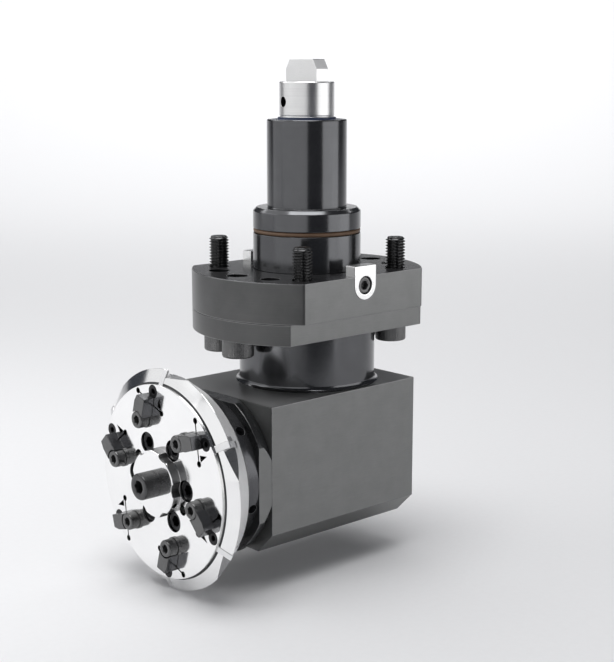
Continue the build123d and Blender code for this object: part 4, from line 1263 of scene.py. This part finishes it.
# %% Clamp ring and arbor screw
clamp_ring_radius, clamp_ring_front = 16.5, 99.9
clamp_ring_profile = [
    (m8_hole, cutter_front), (clamp_ring_radius, cutter_front),
    (clamp_ring_radius, clamp_ring_front - 0.5), (clamp_ring_radius - 0.5, clamp_ring_front),
    (m8_hole, clamp_ring_front),
]
clamp_ring = turned("ring", clamp_ring_profile, NOSE, 192)
scallops = pegs(m6_bore, cutter_front - 1, clamp_ring_front + 1, cutter_screw_spots, NOSE)
edge_holes = [
    rim_hole(1.5, 4, clamp_ring_radius, angle, cutter_front + 2.45) for angle in jack_angles
]
carve(clamp_ring, scallops + edge_holes)
break_edges(clamp_ring, 0.12, 1)
for face in clamp_ring.data.polygons:
    if face.normal.y < -0.5:
        face.material_index = 1
    elif face.material_index == 1:
        face.material_index = 2
fit(clamp_ring, "arbor_ring", "cutter_spindle", "ring_side_steel polished_steel bevel_steel",
    ["cutter_clamp_ring"])
fit_screws(cap_screw("M8", 30.0), spots_on(NOSE, [(0, 0)], clamp_ring_front),
           "arbor_cap_screw", "cutter_spindle", "arbor_oxide", "arbor_screw")
fit_screws(cap_screw("M6", 13.5), spots_on(NOSE, cutter_screw_spots, cutter_front - 7),
           "cutter_cap_screws", "cutter_spindle", "screw_oxide", "cutter_screws")

# %% [markdown]
# Six rhombic carbide inserts stand in the pockets, rake face forward in the turning
# direction. A pressed chip groove runs inside the cutting edge: the face is a stack of
# shrinking outlines that step down and up again, and the middle is bored and countersunk.

# %% Inserts
rake_steps = [(0.0, 0.0), (0.35, 0.0), (0.75, -0.16), (1.25, -0.18), (1.9, 0.0)]


def insert_pattern():
    """One insert in the tooth's frame, its rake face on x = 0."""
    outer = insert_outline(0, 0.6)
    middle = Vector((sum(p[0] for p in outer), sum(p[1] for p in outer))) / len(outer)
    narrow = insert_side * math.sin(math.radians(insert_corner)) / 2
    rings = []
    for inset, rise in [(0.12, -insert_thick), (0.0, 0.12 - insert_thick)] + rake_steps:
        share = (narrow - inset) / narrow
        rings.append([(*(middle + (Vector(p) - middle) * share), rise) for p in outer])
    points, count = sum(rings, []), len(outer)
    faces = []
    for low in range(0, len(points) - count, count):
        for k in range(count):
            after = (k + 1) % count
            faces.append([low + k, low + after, low + count + after, low + count + k])
    faces += [list(range(count))[::-1], list(range(len(points) - count, len(points)))]
    made = shape("insert", points, faces, upright)
    sink = [(0, -insert_thick - 1), (1.8, -insert_thick - 1), (1.8, -0.9), (2.5, 0.3), (0, 0.3)]
    sink_place = upright @ Matrix.Translation((*middle, 0))
    return carve(made, [turned("sink", sink, sink_place, 48), tip_relief(SHANK)])


pattern = insert_pattern()
for number, tooth in enumerate(tooth_frames, start=1):
    fit(repeat("insert", pattern, [tooth]), f"rhomb_insert_{number}", "cutter_spindle", "carbide",
        [f"cutter_insert_{number}"], sharp=25)
bpy.data.objects.remove(pattern)

# %% [markdown]
# Each insert's seat is drawn tight by a clamp: a thick arm from the screw out over the slit,
# hollowed round the screw's head, on a thin round foot. Arm and foot are pushed outlines, and
# the arm's edges are broken before the two are put together.

# %% Clamps and their screws
clamp_half, clamp_length, clamp_height, head_room = 3.8, 12.4, 6.0, 4.5
seat_turn = Matrix.Rotation(math.radians(-34.6), 4, "Z")
clamp_places = [
    seat @ Matrix.Translation((0, clamp_circle, cutter_front)) @ seat_turn for seat in clamp_frames
]


def clamp_pattern():
    """One clamp: screw axis at the origin, arm along y."""
    lean = math.degrees(math.acos(clamp_half / head_room))
    hollow = arc(head_room, 180 - lean, lean, 16)
    outline = [(1.2 - clamp_half, clamp_length), (-clamp_half, clamp_length - 3.6), *hollow,
               (clamp_half, clamp_length)]
    arm = break_edges(pushed("arm", outline, 0.02, clamp_height), 0.3, 2)
    # The arm's sides take a darker oxide as painted shade.
    paint(arm, 2, lambda middle, normal: abs(normal.z) < 0.3)
    foot = turned("foot", soften([(2.55, 0), (4.7, 0), (4.7, 1.0), (2.55, 1.0)], 0.12), segments=64)
    return merge("clamp", [arm, foot])


pattern = clamp_pattern()
for number, place in enumerate(clamp_places, start=1):
    fit(repeat("clamp", pattern, [place]), f"seat_clamp_{number}", "cutter_spindle",
        "clamp_oxide arbor_oxide ring_oxide", [f"insert_clamp_{number}"])
bpy.data.objects.remove(pattern)
screw_places = [place @ Matrix.Translation((0, 0, 1.0)) for place in clamp_places]
fit_screws(cap_screw("M5", 11.0), screw_places,
           "clamp_cap_screws", "cutter_spindle", "clamp_oxide", "clamp_screws")

lock_top = 0.6
lock_rows = [
    (0, -9.0), (1.7, -9.0), (2.0, -8.6), (2.0, 0.0), (3.3, 0.0), (3.3, 0.42), (3.1, lock_top),
    (0, lock_top),
]
lock = carve(turned("lock", lock_rows, segments=64), socket_tools(2.5, lock_top, 2.5))
lock_places = [
    seat @ Matrix.Translation((*locking_spot, cutter_front - lock_top)) for seat in clamp_frames
]
fit_screws(lock, lock_places, "slit_lock_screws", "cutter_spindle", "screw_oxide", "locking_screws")

# %% [markdown]
# At the back a plain cover closes the block behind the spindle, with six small screws sunk in
# it. It is spun with softened corners and bored for the screw heads.

# %% Rear cover
cover_profile = [
    (0, -block_rear), (33.0, -block_rear), (33.0, -36.0), (18.48, -36.0), (18.48, -32.0),
    (15.0, -32.0), (15.0, -37.5), (0, -37.5),
]
cover = turned("cover", soften(cover_profile, 0.35), NOSE, 160)
cover_spots = [spot_at(28.3, 60 * number) for number in range(6)]
cover_seat = -37.0
carve(cover, pegs(m4_bore, -block_rear - 1, cover_seat, cover_spots, NOSE)
      + pegs(m4_hole, -38, -35, cover_spots, NOSE))
fit(cover, "block_rear_cover", "holder", "nose_oxide", ["rear_cover"])
fit_screws(cap_screw("M4", 12.0), spots_on(NOSE, cover_spots, cover_seat, down),
           "cover_cap_screws", "holder", "screw_oxide", "rear_cover_screws")

# %% [markdown]
# The model's own pieces that stay as they are still need a surface: a blackened steel screw
# looks like one wherever it sits. Each is given its finish in the slots of its own object,
# so the shape is the model's and only the look is added here.

# %% Finishes of the model's own pieces
def dress(nodes, finish):
    """Gives the model's own pieces a finish in the slots of their objects."""
    for name in nodes:
        for material_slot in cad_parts[name].material_slots:
            material_slot.link = "OBJECT"
            material_slot.material = FINISHES[finish]


stay = {
    "spindle_steel": ["spindle", "spindle_spacer", "spindle_locknut", "gear_washer"],
    "gear_steel": ["input_gear", "output_gear", "input_gear_key", "output_gear_key"],
    "coupling_steel": ["flange_dowels", "needle_shell", "needle_rollers"],
    "key_steel": [f"{place}_bearing_{part}" for place in ("input", "front", "rear")
                for part in ("inner", "outer", "balls")],
    "screw_oxide": ["gear_screw", "nose_cap_screws"],
    "black_rubber": ["nose_seal"],
}
for finish, nodes in stay.items():
    dress(nodes, finish)
print(sum(len(nodes) for nodes in stay.values()), "pieces keep their model shape")
